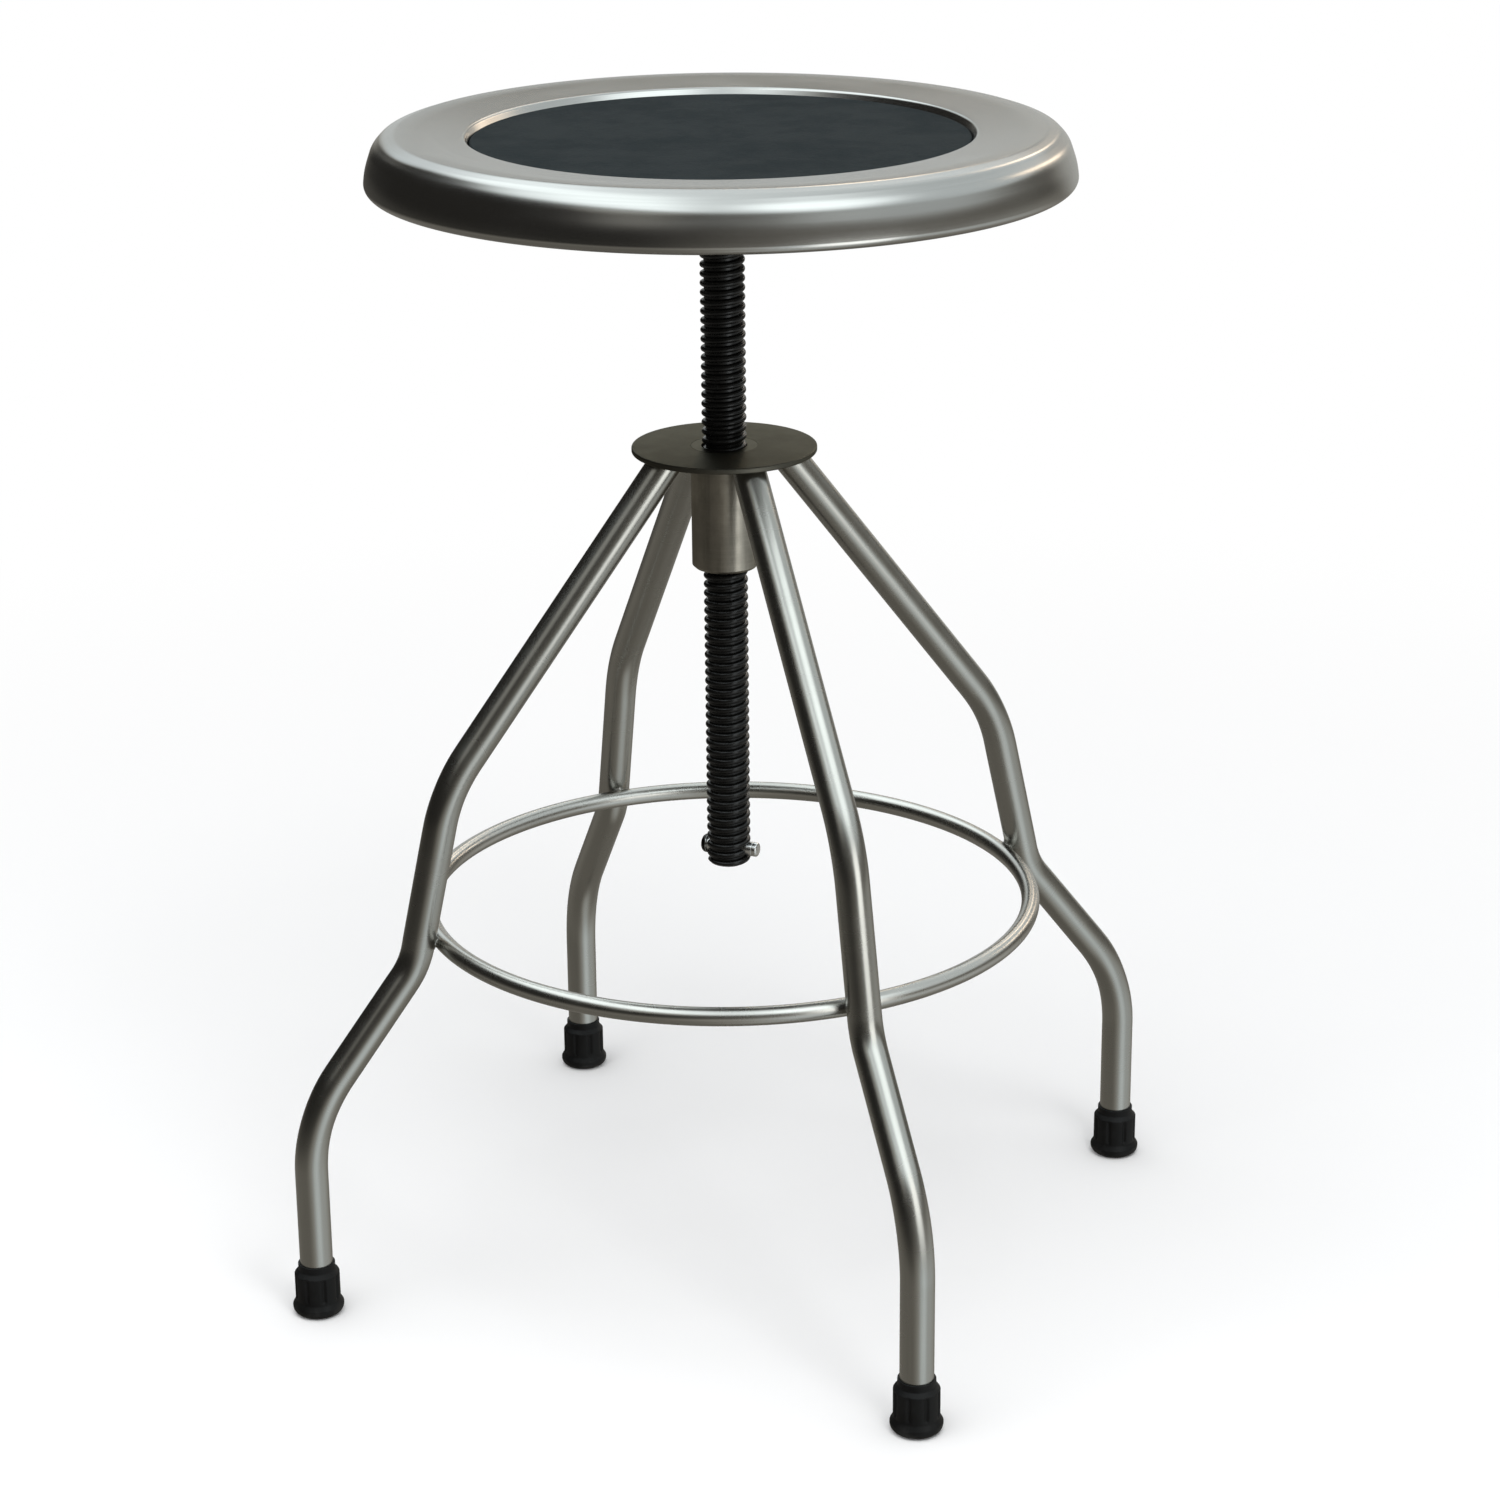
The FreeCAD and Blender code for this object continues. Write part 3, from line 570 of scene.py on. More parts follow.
def moulded_rubber(name, dark):
    """Black moulded rubber with a satin skin, bloom and scuffs near the floor."""
    f = Finish(name, Specular_IOR_Level=0.15)
    skin = f.noise(f.place, scale=520.0, detail=3.0)
    bloom = f.noise(f.place, scale=70.0, detail=5.0, roughness=0.62)
    low = f.spread(f.towards(f.place, (0, 0, 1)), 0.0, 9 * MM, 1.0, 0.0)
    scuff = f.math("MULTIPLY", low, f.spread(bloom, 0.45, 0.7, 0.0, 1.0))
    base = f.mixed(f.spread(bloom, 0.35, 0.7, 0.0, 1.0), tinted(dark, 0.75), tinted(dark, 1.4))
    f.paint(f.mixed(f.math("MULTIPLY", scuff, 0.4), base, (0.06, 0.058, 0.054)))
    f.roughen(f.spread(bloom, 0.3, 0.7, 0.44, 0.62))
    f.bump([(skin, 0.04 * MM)])
    return f.material


# Outlines of the pieces, as (radius, height) in metres


def pan_corners(s):
    """Corners of the pan's upper face from the axis out to the rolled rim, with the rounds between them."""
    rim = PAN_HIGH.x - s.rim_roll + s.rim_roll * (1 + math.sin(s.lower_flare)) / math.cos(s.lower_flare)
    bend_height = PAN_LOW.z + s.skirt_bend
    bend = rim - s.skirt_bend * math.tan(s.lower_flare)
    skirt_height = PAN_HIGH.z - s.shoulder_drop
    skirt = bend - (skirt_height - bend_height) * math.tan(s.upper_flare)
    edge = skirt - s.shoulder_width
    lip_height = PAN_HIGH.z - s.crown_rise
    draft = math.tan(s.recess_draft)
    lip = s.pad_radius + s.pad_gap + (lip_height - PAD_HIGH.z) * draft
    floor = lip - (lip_height - PAD_LOW.z) * draft
    corners = [(0, PAD_LOW.z), (floor, PAD_LOW.z), (lip, lip_height), (edge - s.crown_width, PAN_HIGH.z),
               (edge, PAN_HIGH.z), (edge + s.break_width, PAN_HIGH.z - s.break_drop), (skirt, skirt_height),
               (bend, bend_height), (rim, PAN_LOW.z), (rim - s.rim_return, PAN_LOW.z)]
    rounds = [s.floor_round, s.lip_round, s.crown_round, s.crown_edge_round, s.break_round, s.skirt_top_round,
              s.skirt_bend_round, s.rim_roll]
    return corners, rounds


def leg_centreline(s):
    """Points on a leg's centreline in its upright plane, from the hub plate down, with the bend at each
    point: 0 on a straight run, rising to 1 in the middle of a bend."""
    plate = PLATE_LOW.z
    top = COLLAR_HIGH.x + s.collar_gap + s.tube_radius / math.cos(s.upper_splay)
    knee = top + (plate - s.knee_height) * math.tan(s.upper_splay)
    waist = knee + (s.knee_height - s.waist_height) * math.tan(s.middle_splay)
    ankle = waist + (s.waist_height - s.ankle_height) * math.tan(s.lower_splay)
    corners = [(top, plate), (knee, s.knee_height), (waist, s.waist_height), (ankle, s.ankle_height),
               (ankle, LEG_LOW.z)]
    bends = [s.knee_bend, s.waist_bend, s.ankle_bend]
    line = rounded_outline(corners, bends, step=math.radians(1.5), support=4 * MM)
    distance = run_length(line)
    bend = np.zeros(len(line))
    fade = 16 * MM
    for corner in corners[1:4]:
        nearest = distance[np.argmin(np.linalg.norm(line - np.array(corner), axis=1))]
        bend = np.maximum(bend, np.exp(-((distance - nearest) / fade) ** 2))
    return line, bend


def leg_grid(s, columns=64):
    """A leg as a tube on its centreline, slightly flattened in its bends, its upper end cut level with the
    plate."""
    line, bend = leg_centreline(s)
    slope = np.gradient(line, axis=0)
    slope /= np.linalg.norm(slope, axis=1)[:, None]
    zero = np.zeros(len(line))
    centres = np.stack([line[:, 0], zero, line[:, 1]], 1)
    across = np.stack([-slope[:, 1], zero, slope[:, 0]], 1)
    out = np.stack([zero, zero + 1, zero], 1)
    flat = s.tube_radius * (1 - s.flattening * bend)
    wide = s.tube_radius * (1 + 0.5 * s.flattening * bend)
    points, along = tubed(centres, across, out, flat, wide, columns)
    lift = (PLATE_LOW.z - points[0, :, 2]) / slope[0, 1]
    points[0] += lift[:, None] * np.array([slope[0, 0], 0, slope[0, 1]])
    return points, along


def thread_radius(s, height, turn):
    """Radius of the thread at a height and an angle: root + depth * sqrt(1 - (offset / half width) ** 2). The
    offset from the middle of the crest is the height in pitches less the angle in turns. Beyond the half
    width it is the root."""
    phase = (height - SCREW_LOW.z) / s.pitch - turn
    offset = phase - np.floor(phase) - 0.5
    bulge = np.sqrt(np.clip(1 - (offset / s.crest_half) ** 2, 0, 1))
    return SCREW_HIGH.x - s.thread_depth * (1 - bulge)


def screw_grid(s, top, columns=48):
    """The thread on a grid whose rows follow its helix, closest where the crest turns down, held level at
    both ends and bevelled at the lower one."""
    turn = np.linspace(0, 1, columns + 1)[None]
    crest = 0.5 + s.crest_half * np.sin(np.linspace(-0.5, 0.5, 13) * math.pi)
    phases = np.concatenate([crest, [0.5 * (1 + crest[-1] + crest[0])]])
    count = math.ceil((top - SCREW_LOW.z) / s.pitch) + 1
    rows = (np.arange(-1, count)[:, None] + phases).reshape(-1, 1)
    height = np.clip(SCREW_LOW.z + s.pitch * (rows + turn), SCREW_LOW.z, top)
    bevel = SCREW_HIGH.x - s.end_bevel + (height - SCREW_LOW.z)
    radius = np.minimum(thread_radius(s, height, turn), bevel)
    spin = 2 * math.pi * turn
    points = np.stack([radius * np.cos(spin), radius * np.sin(spin), height], 2)
    along = np.stack([height, points[..., 0], points[..., 1]], 2)
    return points, along


def smooth(value):
    """Smooth step: 3 t ** 2 - 2 t ** 3 for t between 0 and 1, held beyond."""
    t = np.clip(value, 0, 1)
    return t ** 2 * (3 - 2 * t)


def tip_grid(s, columns=192):
    """A tip turned about Z, its barrel pressed in by flutes: depth * (raised cosine across a flute) * (a
    smooth window between the flange and the shoulder)."""
    bore = s.tube_radius
    mouth = bore - 0.15 * MM
    rim = bore + 1.1 * MM
    barrel = bore + 3.3 * MM
    flange = TIP_HIGH.x - (TIP_LOW.x + TIP_HIGH.x) / 2
    flange_top = 5.2 * MM
    barrel_foot = 8.2 * MM
    top = TIP_HIGH.z
    shoulder = top - 3.8 * MM
    barrel_top = shoulder - 2.4 * MM
    seat = top - 4 * MM
    corners = [(0, 0), (flange, 0), (flange, flange_top), (barrel, barrel_foot), (barrel, barrel_top),
               (rim, shoulder), (rim, top), (mouth, top), (mouth, seat), (0, seat)]
    rounds = [4.2 * MM, 0.9 * MM, 1.6 * MM, 0.9 * MM, 0.7 * MM, 0.45 * MM, 0.4 * MM, 0.3 * MM]
    outline = rounded_outline(corners, rounds, step=math.radians(10), support=0.6 * MM)
    inset = 0.2 * MM
    steps = np.linspace(barrel_foot + inset, barrel_top - inset, 26)
    wall = np.argmin(np.abs(outline[:, 1] - steps[0]) + np.abs(outline[:, 0] - barrel))
    above = outline[wall:]
    above = above[(above[:, 1] > steps[-1]) | (above[:, 0] < bore)]
    outline = np.concatenate([outline[:wall], np.stack([np.full(len(steps), barrel), steps], 1), above])
    points, along = turned(outline, columns)
    angles = np.linspace(0, 2 * math.pi, columns, endpoint=False)
    flute_half = math.radians(10)
    period = 2 * math.pi / s.flute_count
    offset = (angles + period / 2) % period - period / 2
    across = np.where(np.abs(offset) < flute_half, 0.5 + 0.5 * np.cos(math.pi * offset / flute_half), 0.0)
    flute_foot = 8.6 * MM
    flute_top = shoulder - 2.0 * MM
    rise = smooth((outline[:, 1] - flute_foot) / (2.2 * MM))
    fall = smooth((flute_top - outline[:, 1]) / (1.6 * MM))
    outside = outline[:, 0] > bore + 0.5 * MM
    shrink = s.flute_depth * across[None] * (outside * rise * fall)[:, None]
    scale = 1 - shrink / np.maximum(outline[:, :1], MM)
    points[..., :2] *= scale[..., None]
    return points, along


def weld_grid(s, columns=72):
    """Weld bead between the ring and a leg. Round the point of contact it follows an oval; at each angle its
    free face runs from the ring's surface to the leg's and is drawn in towards the contact, with fine
    ripples."""
    half_length = 6.6 * MM
    half_height = 4.4 * MM
    draw_in = 0.34
    ripple = 0.10
    ripple_count = 15
    root_share = 0.7
    root_depth = 1.2 * MM
    bead_scale = 4 * MM
    lean = s.middle_splay
    normal = np.array([math.cos(lean), 0, math.sin(lean)])
    upward = np.array([-math.sin(lean), 0, math.cos(lean)])
    sideways = np.array([0.0, 1.0, 0.0])
    contact = np.array([RING_RADIUS, 0, RING_HEIGHT]) + RING_ROD * normal
    angles = np.linspace(0, 2 * math.pi, columns, endpoint=False)
    x = half_length * np.cos(angles)
    y = half_height * np.sin(angles)
    on_ring = -(RING_ROD - np.sqrt(RING_ROD ** 2 - y ** 2)) - x ** 2 / (2 * RING_RADIUS)
    on_leg = s.tube_radius - np.sqrt(s.tube_radius ** 2 - x ** 2)
    across = np.linspace(0, 1, 13)[:, None]
    pull = 1 - draw_in * 4 * across * (1 - across) * (1 + ripple * np.sin(ripple_count * angles))
    deep = on_ring + (on_leg - on_ring) * across
    pull = np.concatenate([root_share * pull[:1], pull, root_share * pull[-1:]])
    deep = np.concatenate([deep[:1] - root_depth, deep, deep[-1:] + root_depth])
    points = (contact + normal * deep[..., None] + sideways * (x * pull)[..., None]
              + upward * (y * pull)[..., None])
    along = np.stack([np.broadcast_to(angles * bead_scale, deep.shape), deep, x * pull], 2)
    return points, along


def pin_points(points):
    """Points turned about Z laid along X, with what was up now at the -X end."""
    return np.stack([-points[..., 2], points[..., 1], points[..., 0]], -1)


def nut_grid(centre, low, high, flats, bore, bevel=0.5 * MM, columns=96):
    """A hexagon nut about its own axis: radius flats / 2 / cos(angle within a side), drawn in at both ends by
    a bevel cone, with a plain bore."""
    angles = np.linspace(0, 2 * math.pi, columns, endpoint=False)
    side = (angles + math.pi / 6) % (math.pi / 3) - math.pi / 6
    hexagon = flats / 2 / np.cos(side)
    face = np.full(columns, flats / 2 * 0.96)
    bevelled = np.minimum(hexagon, flats / 2 * 1.06)
    inner = np.full(columns, bore)
    rings = [(inner, low), (inner + bevel, low), (face, low), (bevelled, low + bevel),
             (hexagon, low + 2 * bevel), (hexagon, high - 2 * bevel), (bevelled, high - bevel), (face, high),
             (inner + bevel, high), (inner, high), (inner, low)]
    radius = np.stack([r for r, _ in rings])
    height = np.broadcast_to(np.array([h for _, h in rings])[:, None], radius.shape)
    points = np.stack([centre[0] + radius * np.cos(angles), centre[1] + radius * np.sin(angles), height], 2)
    return points, points.copy()


def stud_places():
    """Where the studs stand, from the washers' box: on the diagonals."""
    reach = (WASHER_HIGH.x - WASHER_LOW.x) / 2 - WASHER_RADIUS
    return [(sx * reach, sy * reach) for sx in (-1, 1) for sy in (-1, 1)]


def moved(grid, place):
    points, along = grid
    return points + np.array([place[0], place[1], 0.0]), along


# Pieces


class STOOL_OT_seat_pan(bpy.types.Operator):
    """Make the pressed seat pan"""

    bl_idname = "stool.seat_pan"
    bl_label = "Seat Pan"

    def execute(self, context):
        s, _, _, _ = settings()
        corners, rounds = pan_corners(s)
        under, under_rounds = shifted_corners(corners, rounds, s.pan_sheet)
        top = rounded_outline(corners, rounds, step=math.radians(2.5), support=0.6 * MM)
        bottom = rounded_outline(under, under_rounds, step=math.radians(5), support=0.6 * MM)
        outline = np.concatenate([top, bottom[::-1]])
        steel = satin_steel("satin_pan_steel", s.steel, s.steel_roughness, grain=(650, 7, 7))
        surface_piece("pressed_seat_pan", [turned(outline, 288)], steel, "seat",
                      ["seat_pan"])
        return {"FINISHED"}


class STOOL_OT_seat_pad(bpy.types.Operator):
    """Make the mat that lies in the pan's recess"""

    bl_idname = "stool.seat_pad"
    bl_label = "Seat Pad"

    def execute(self, context):
        s, _, _, _ = settings()
        draft = math.tan(s.recess_draft)
        clear = 0.6 * MM
        foot = s.pad_radius - (PAD_HIGH.z - PAD_LOW.z) * draft - clear
        corners = [(0, PAD_LOW.z), (foot, PAD_LOW.z), (s.pad_radius, PAD_HIGH.z - s.pad_crown),
                   (0, PAD_HIGH.z)]
        outline = rounded_outline(corners, [0.8 * MM, 1.1 * MM], step=math.radians(8), support=2 * MM)
        rubber = matt_mat("matt_black_mat", s.pad_colour)
        pad = surface_piece("seat_mat", [turned(outline, 192)], rubber, "seat", ["seat_pad"])
        return {"FINISHED"}


class STOOL_OT_under_seat(bpy.types.Operator):
    """Make the flange, socket, studs, washers, nuts and bump washer under the pan"""

    bl_idname = "stool.under_seat"
    bl_label = "Under Seat"

    def execute(self, context):
        s, _, legs, _ = settings()
        zinc = zinc_plate("zinc_plate", s.hardware)
        edge = 0.4 * MM
        flange = disc_outline(FLANGE_HIGH.x, FLANGE_HIGH.z, FLANGE_LOW.z, [edge, 2 * edge], MM)
        surface_piece("flange_disc", [turned(flange, 128)], zinc, "seat", ["seat_flange"])
        tube = SOCKET_HIGH.x
        top = SOCKET_HIGH.z
        socket = band_outline(SOCKET_BORE, tube, top, SOCKET_LOW.z, [edge, 2 * edge, edge], MM)
        fillet_leg = 4 * MM
        fillet_dip = 0.5 * MM
        corners = [(tube - MM, top), (tube + fillet_leg, top), (tube + fillet_dip, top - fillet_dip),
                   (tube, top - fillet_leg), (tube - MM, top)]
        fillet = rounded_outline(corners, [0.3 * MM, 3 * MM, 0.3 * MM], support=0.5 * MM)
        surface_piece("socket_tube", [turned(socket, 96), turned(fillet, 96)], zinc, "seat",
                      ["screw_socket"])
        middle = (SOCKET_PIN_LOW.z + SOCKET_PIN_HIGH.z) / 2
        pin_radius = (SOCKET_PIN_HIGH.z - SOCKET_PIN_LOW.z) / 2
        reach = SOCKET_PIN_HIGH.x + 0.3 * MM
        pin = disc_outline(pin_radius, -reach, reach, [edge, edge], 0.5 * MM)
        points, along = turned(pin, 48)
        points = pin_points(points) + np.array([0, 0, middle])
        surface_piece("socket_cross_pin", [(points, along)], zinc, "seat", ["socket_pin"])
        washer = band_outline(WASHER_HOLE, WASHER_RADIUS, WASHER_HIGH.z, WASHER_LOW.z,
                              [0.2 * MM, 0.3 * MM, 0.2 * MM], 0.3 * MM)
        stud = disc_outline(STUD_RADIUS, STUD_HIGH.z, STUD_LOW.z, [0.2 * MM, 0.7 * MM], 0.4 * MM)
        places = stud_places()
        washers = [moved(turned(washer, 48), place) for place in places]
        surface_piece("flat_washers", washers, zinc, "seat", ["stud_washers"])
        studs = [moved(turned(stud, 40), place) for place in places]
        surface_piece("weld_studs", studs, zinc, "seat", ["seat_studs"])
        nuts = [nut_grid(place, NUT_LOW.z, NUT_HIGH.z, NUT_FLATS, STUD_RADIUS) for place in places]
        surface_piece("hexagon_nuts", nuts, zinc, "seat", ["stud_nuts"],
                      sharp=math.radians(25))
        bumper = band_outline(BUMPER_BORE, BUMPER_HIGH.x, BUMPER_HIGH.z, BUMPER_LOW.z,
                              [0.3 * MM, 1.0 * MM, 0.6 * MM], 0.4 * MM)
        rubber = moulded_rubber("bump_rubber", legs.rubber)
        surface_piece("rubber_bump_washer", [turned(bumper, 96)], rubber, "lift",
                      ["bump_washer"])
        return {"FINISHED"}


class STOOL_OT_lift_screw(bpy.types.Operator):
    """Make the lifting screw and its stop pin"""

    bl_idname = "stool.lift_screw"
    bl_label = "Lifting Screw"

    def execute(self, context):
        _, s, _, _ = settings()
        black = black_oxide("blackened_screw", s.black)
        thread = screw_grid(s, SOCKET_LOW.z + MM)
        surface_piece("threaded_lift_screw", [thread], black, "seat", ["lift_screw"],
                      wrap=False, sharp=math.radians(70))
        shank = s.pin_radius
        head = -PIN_LOW.x
        neck = head - s.pin_head_height
        head_radius = (PIN_HIGH.z - PIN_LOW.z) / 2
        tail = -PIN_HIGH.x
        groove = tail + 2.6 * MM
        groove_half = 0.3 * MM
        groove_depth = 0.4 * MM
        corners = [(0, tail), (shank, tail), (shank, groove), (shank - groove_depth, groove + groove_half),
                   (shank, groove + 2 * groove_half), (shank, neck), (head_radius, neck), (head_radius, head),
                   (0, head)]
        rounds = [1.2 * MM, 0.1 * MM, 0.1 * MM, 0.1 * MM, 0.2 * MM, 0.3 * MM, 2.8 * MM]
        outline = rounded_outline(corners, rounds, step=math.radians(10), support=0.2 * MM)
        points, along = turned(outline, 64)
        middle = (PIN_LOW.z + PIN_HIGH.z) / 2
        points = pin_points(points) + np.array([0, 0, middle])
        # The screw's black gives the pin head its painted dark reflection.
        bright = pin_steel("bright_pin_steel", s.pin_steel, s.black)
        surface_piece("stop_cross_pin", [(points, along)], bright, "seat", ["stop_pin"])
        return {"FINISHED"}


class STOOL_OT_hub(bpy.types.Operator):
    """Make the hub plate and the threaded collar"""

    bl_idname = "stool.hub"
    bl_label = "Hub"

    def execute(self, context):
        _, s, _, _ = settings()
        plate_tone = tuple(s.plate_steel)
        collar = COLLAR_HIGH.x
        seam = 0.25 * MM
        outline = band_outline(collar, PLATE_HIGH.x, PLATE_HIGH.z, PLATE_LOW.z,
                               [s.plate_edge, s.plate_edge, seam], MM)
        steel = dull_hub_steel("dull_plate_steel", s.plate_steel, 0.46, (30, 30, 30), plate_tone)
        surface_piece("round_hub_plate", [turned(outline, 160)], steel, "base", ["hub_plate"])
        bore = s.collar_bore
        top = COLLAR_HIGH.z
        bottom = COLLAR_LOW.z
        mouth = MM
        corners = [(bore, top), (collar - seam, top), (collar, top - seam), (collar, bottom + s.collar_bevel),
                   (collar - s.collar_bevel, bottom), (bore + mouth, bottom), (bore, bottom + mouth),
                   (bore, top)]
        rounds = [seam / 4, seam / 4, 0.4 * MM, 0.4 * MM, 0.3 * MM, 0.3 * MM]
        outline = rounded_outline(corners, rounds, support=MM)
        steel = dull_hub_steel("dull_collar_steel", s.collar_steel, 0.33, (190, 190, 9), plate_tone)
        surface_piece("threaded_collar", [turned(outline, 128)], steel, "base", ["hub_collar"])
        return {"FINISHED"}


class STOOL_OT_legs(bpy.types.Operator):
    """Make the four bent legs"""

    bl_idname = "stool.legs"
    bl_label = "Legs"

    def execute(self, context):
        _, _, s, _ = settings()
        steel = satin_steel("satin_leg_steel", s.steel, s.steel_roughness, grain=(25, 500, 500))
        points, along = leg_grid(s)
        for number, turn in enumerate(LEG_ANGLES, start=1):
            surface_piece(f"bent_leg_{number}", [(spun(points, turn), along)], steel, "base",
                          [f"leg_{number}"])
        return {"FINISHED"}


class STOOL_OT_foot_ring(bpy.types.Operator):
    """Make the foot ring and its welds"""

    bl_idname = "stool.foot_ring"
    bl_label = "Foot Ring"

    def execute(self, context):
        _, _, s, _ = settings()
        steel = satin_steel("bright_ring_steel", s.ring_steel, 0.27, grain=(40, 600, 600))
        sweep = np.linspace(0, 2 * math.pi, 361)
        zero = np.zeros(len(sweep))
        outward = np.stack([np.cos(sweep), np.sin(sweep), zero], 1)
        centres = outward * RING_RADIUS + np.array([0, 0, RING_HEIGHT])
        upward = np.stack([zero, zero, zero + 1], 1)
        rod = np.full(len(sweep), RING_ROD)
        ring = tubed(centres, outward, upward, rod, rod, 40)
        surface_piece("round_foot_ring", [ring], steel, "base", ["foot_ring"])
        points, along = weld_grid(s)
        welds = [(spun(points, turn), along) for turn in LEG_ANGLES]
        weld_steel = satin_steel("ground_weld_steel", tinted(s.steel, 0.85), 0.32, grain=(900, 300, 300))
        surface_piece("ring_weld_beads", welds, weld_steel, "base", ["ring_welds"])
        return {"FINISHED"}


class STOOL_OT_foot_tips(bpy.types.Operator):
    """Make the four rubber tips"""

    bl_idname = "stool.foot_tips"
    bl_label = "Rubber Tips"

    def execute(self, context):
        _, _, s, _ = settings()
        rubber = moulded_rubber("moulded_tip_rubber", s.rubber)
        points, along = tip_grid(s)
        points = points + np.array([FOOT_RADIUS, 0, 0])
        for number, turn in enumerate(LEG_ANGLES, start=1):
            surface_piece(f"fluted_tip_{number}", [(spun(points, turn), along)], rubber, "base",
                          [f"foot_tip_{number}"])
        return {"FINISHED"}


class STOOL_OT_stage(bpy.types.Operator):
    """Make the floor, the light and the camera"""

    bl_idname = "stool.stage"
    bl_label = "Stage"

    def execute(self, context):
        *_, s = settings()
        pale_floor(s)
        studio_world(s)
        upright_panel(s)
        soft_lights(s)
        photograph_camera(s)
        context.scene.view_settings.view_transform = "Standard"
        return {"FINISHED"}


def pale_floor(s):
    """A pale floor that takes the stool's shadow and turns to plain white away from it. The metal mirrors the
    room instead of it."""
    reach = 30.0
    mesh = bpy.data.meshes.new("pale_floor")
    mesh.from_pydata([(-reach, -reach, 0), (reach, -reach, 0), (reach, reach, 0), (-reach, reach, 0)], [],
                     [(0, 1, 2, 3)])
    floor = bpy.data.objects.new("pale_floor", mesh)
    bpy.context.scene.collection.objects.link(floor)
    f = Finish("pale_floor", Roughness=0.9, Specular_IOR_Level=0.1)
    tone = f.noise(f.place, scale=1.3, detail=3.0)
    f.paint(f.mixed(f.spread(tone, 0.3, 0.7, 0.0, 1.0), tinted(s.floor, 0.985), tuple(s.floor)))
    far = f.add("ShaderNodeVectorMath")
    far.operation = "LENGTH"
    f.feed(far.inputs[0], f.place)
    ray = f.add("ShaderNodeLightPath")
    shown = f.math("MAXIMUM", ray.outputs["Is Camera Ray"], ray.outputs["Is Transmission Ray"])
    white = f.add("ShaderNodeEmission", Color=(1.0, 1.0, 1.0, 1.0), Strength=1.0)
    fade = f.math("MULTIPLY", shown, f.spread(far.outputs["Value"], 0.35, 1.5, 0.0, 1.0))
    mix = f.add("ShaderNodeMixShader", Fac=fade)
    f.feed(mix.inputs[1], f.shader.outputs["BSDF"])
    f.feed(mix.inputs[2], white.outputs["Emission"])
    f.feed(f.tree.nodes["Material Output"].inputs["Surface"], mix.outputs["Shader"])
    mesh.materials.append(f.material)
    floor.visible_glossy = False


def view_axes(s):
    """Unit vectors to the right of the camera, away from it along the floor, and up."""
    a = s.camera_azimuth
    right = np.array([math.cos(a), math.sin(a), 0.0])
    away = np.array([-math.sin(a), math.cos(a), 0.0])
    return right, away, np.array([0.0, 0.0, 1.0])


def window_axes(s):
    """Unit vectors along the floor towards the window, and to its right."""
    right, away, _ = view_axes(s)
    ahead = math.sin(s.window_azimuth) * right - math.cos(s.window_azimuth) * away
    beside = math.cos(s.window_azimuth) * right + math.sin(s.window_azimuth) * away
    return ahead, beside


def upright_panel(s):
    """A bright upright panel that only the metal mirrors, brighter towards its top, for the bright line down
    the legs."""
    ahead, beside = window_axes(s)
    foot = s.panel_distance * ahead
    half = s.panel_width / 2 * beside
    top = np.array([0.0, 0.0, s.panel_top])
    mesh = bpy.data.meshes.new("upright_panel")
    corners = (foot - half, foot + half, foot + half + top, foot - half + top)
    mesh.from_pydata([tuple(corner) for corner in corners], [], [(0, 1, 2, 3)])
    panel = bpy.data.objects.new("upright_panel", mesh)
    bpy.context.scene.collection.objects.link(panel)
    f = Finish("upright_panel", Specular_IOR_Level=0.0)
    f.paint((0.0, 0.0, 0.0, 1.0))
    f.shader.inputs["Emission Color"].default_value = (0.97, 1.0, 1.0, 1.0)
    rise = f.towards(f.place, (0, 0, 1))
    strength = f.spread(rise, 0.0, 0.6 * s.panel_top, s.panel_level / 3, s.panel_level)
    f.feed(f.shader.inputs["Emission Strength"], strength)
    mesh.materials.append(f.material)
    for kind in ("camera", "diffuse", "transmission", "volume_scatter", "shadow"):
        setattr(panel, f"visible_{kind}", False)


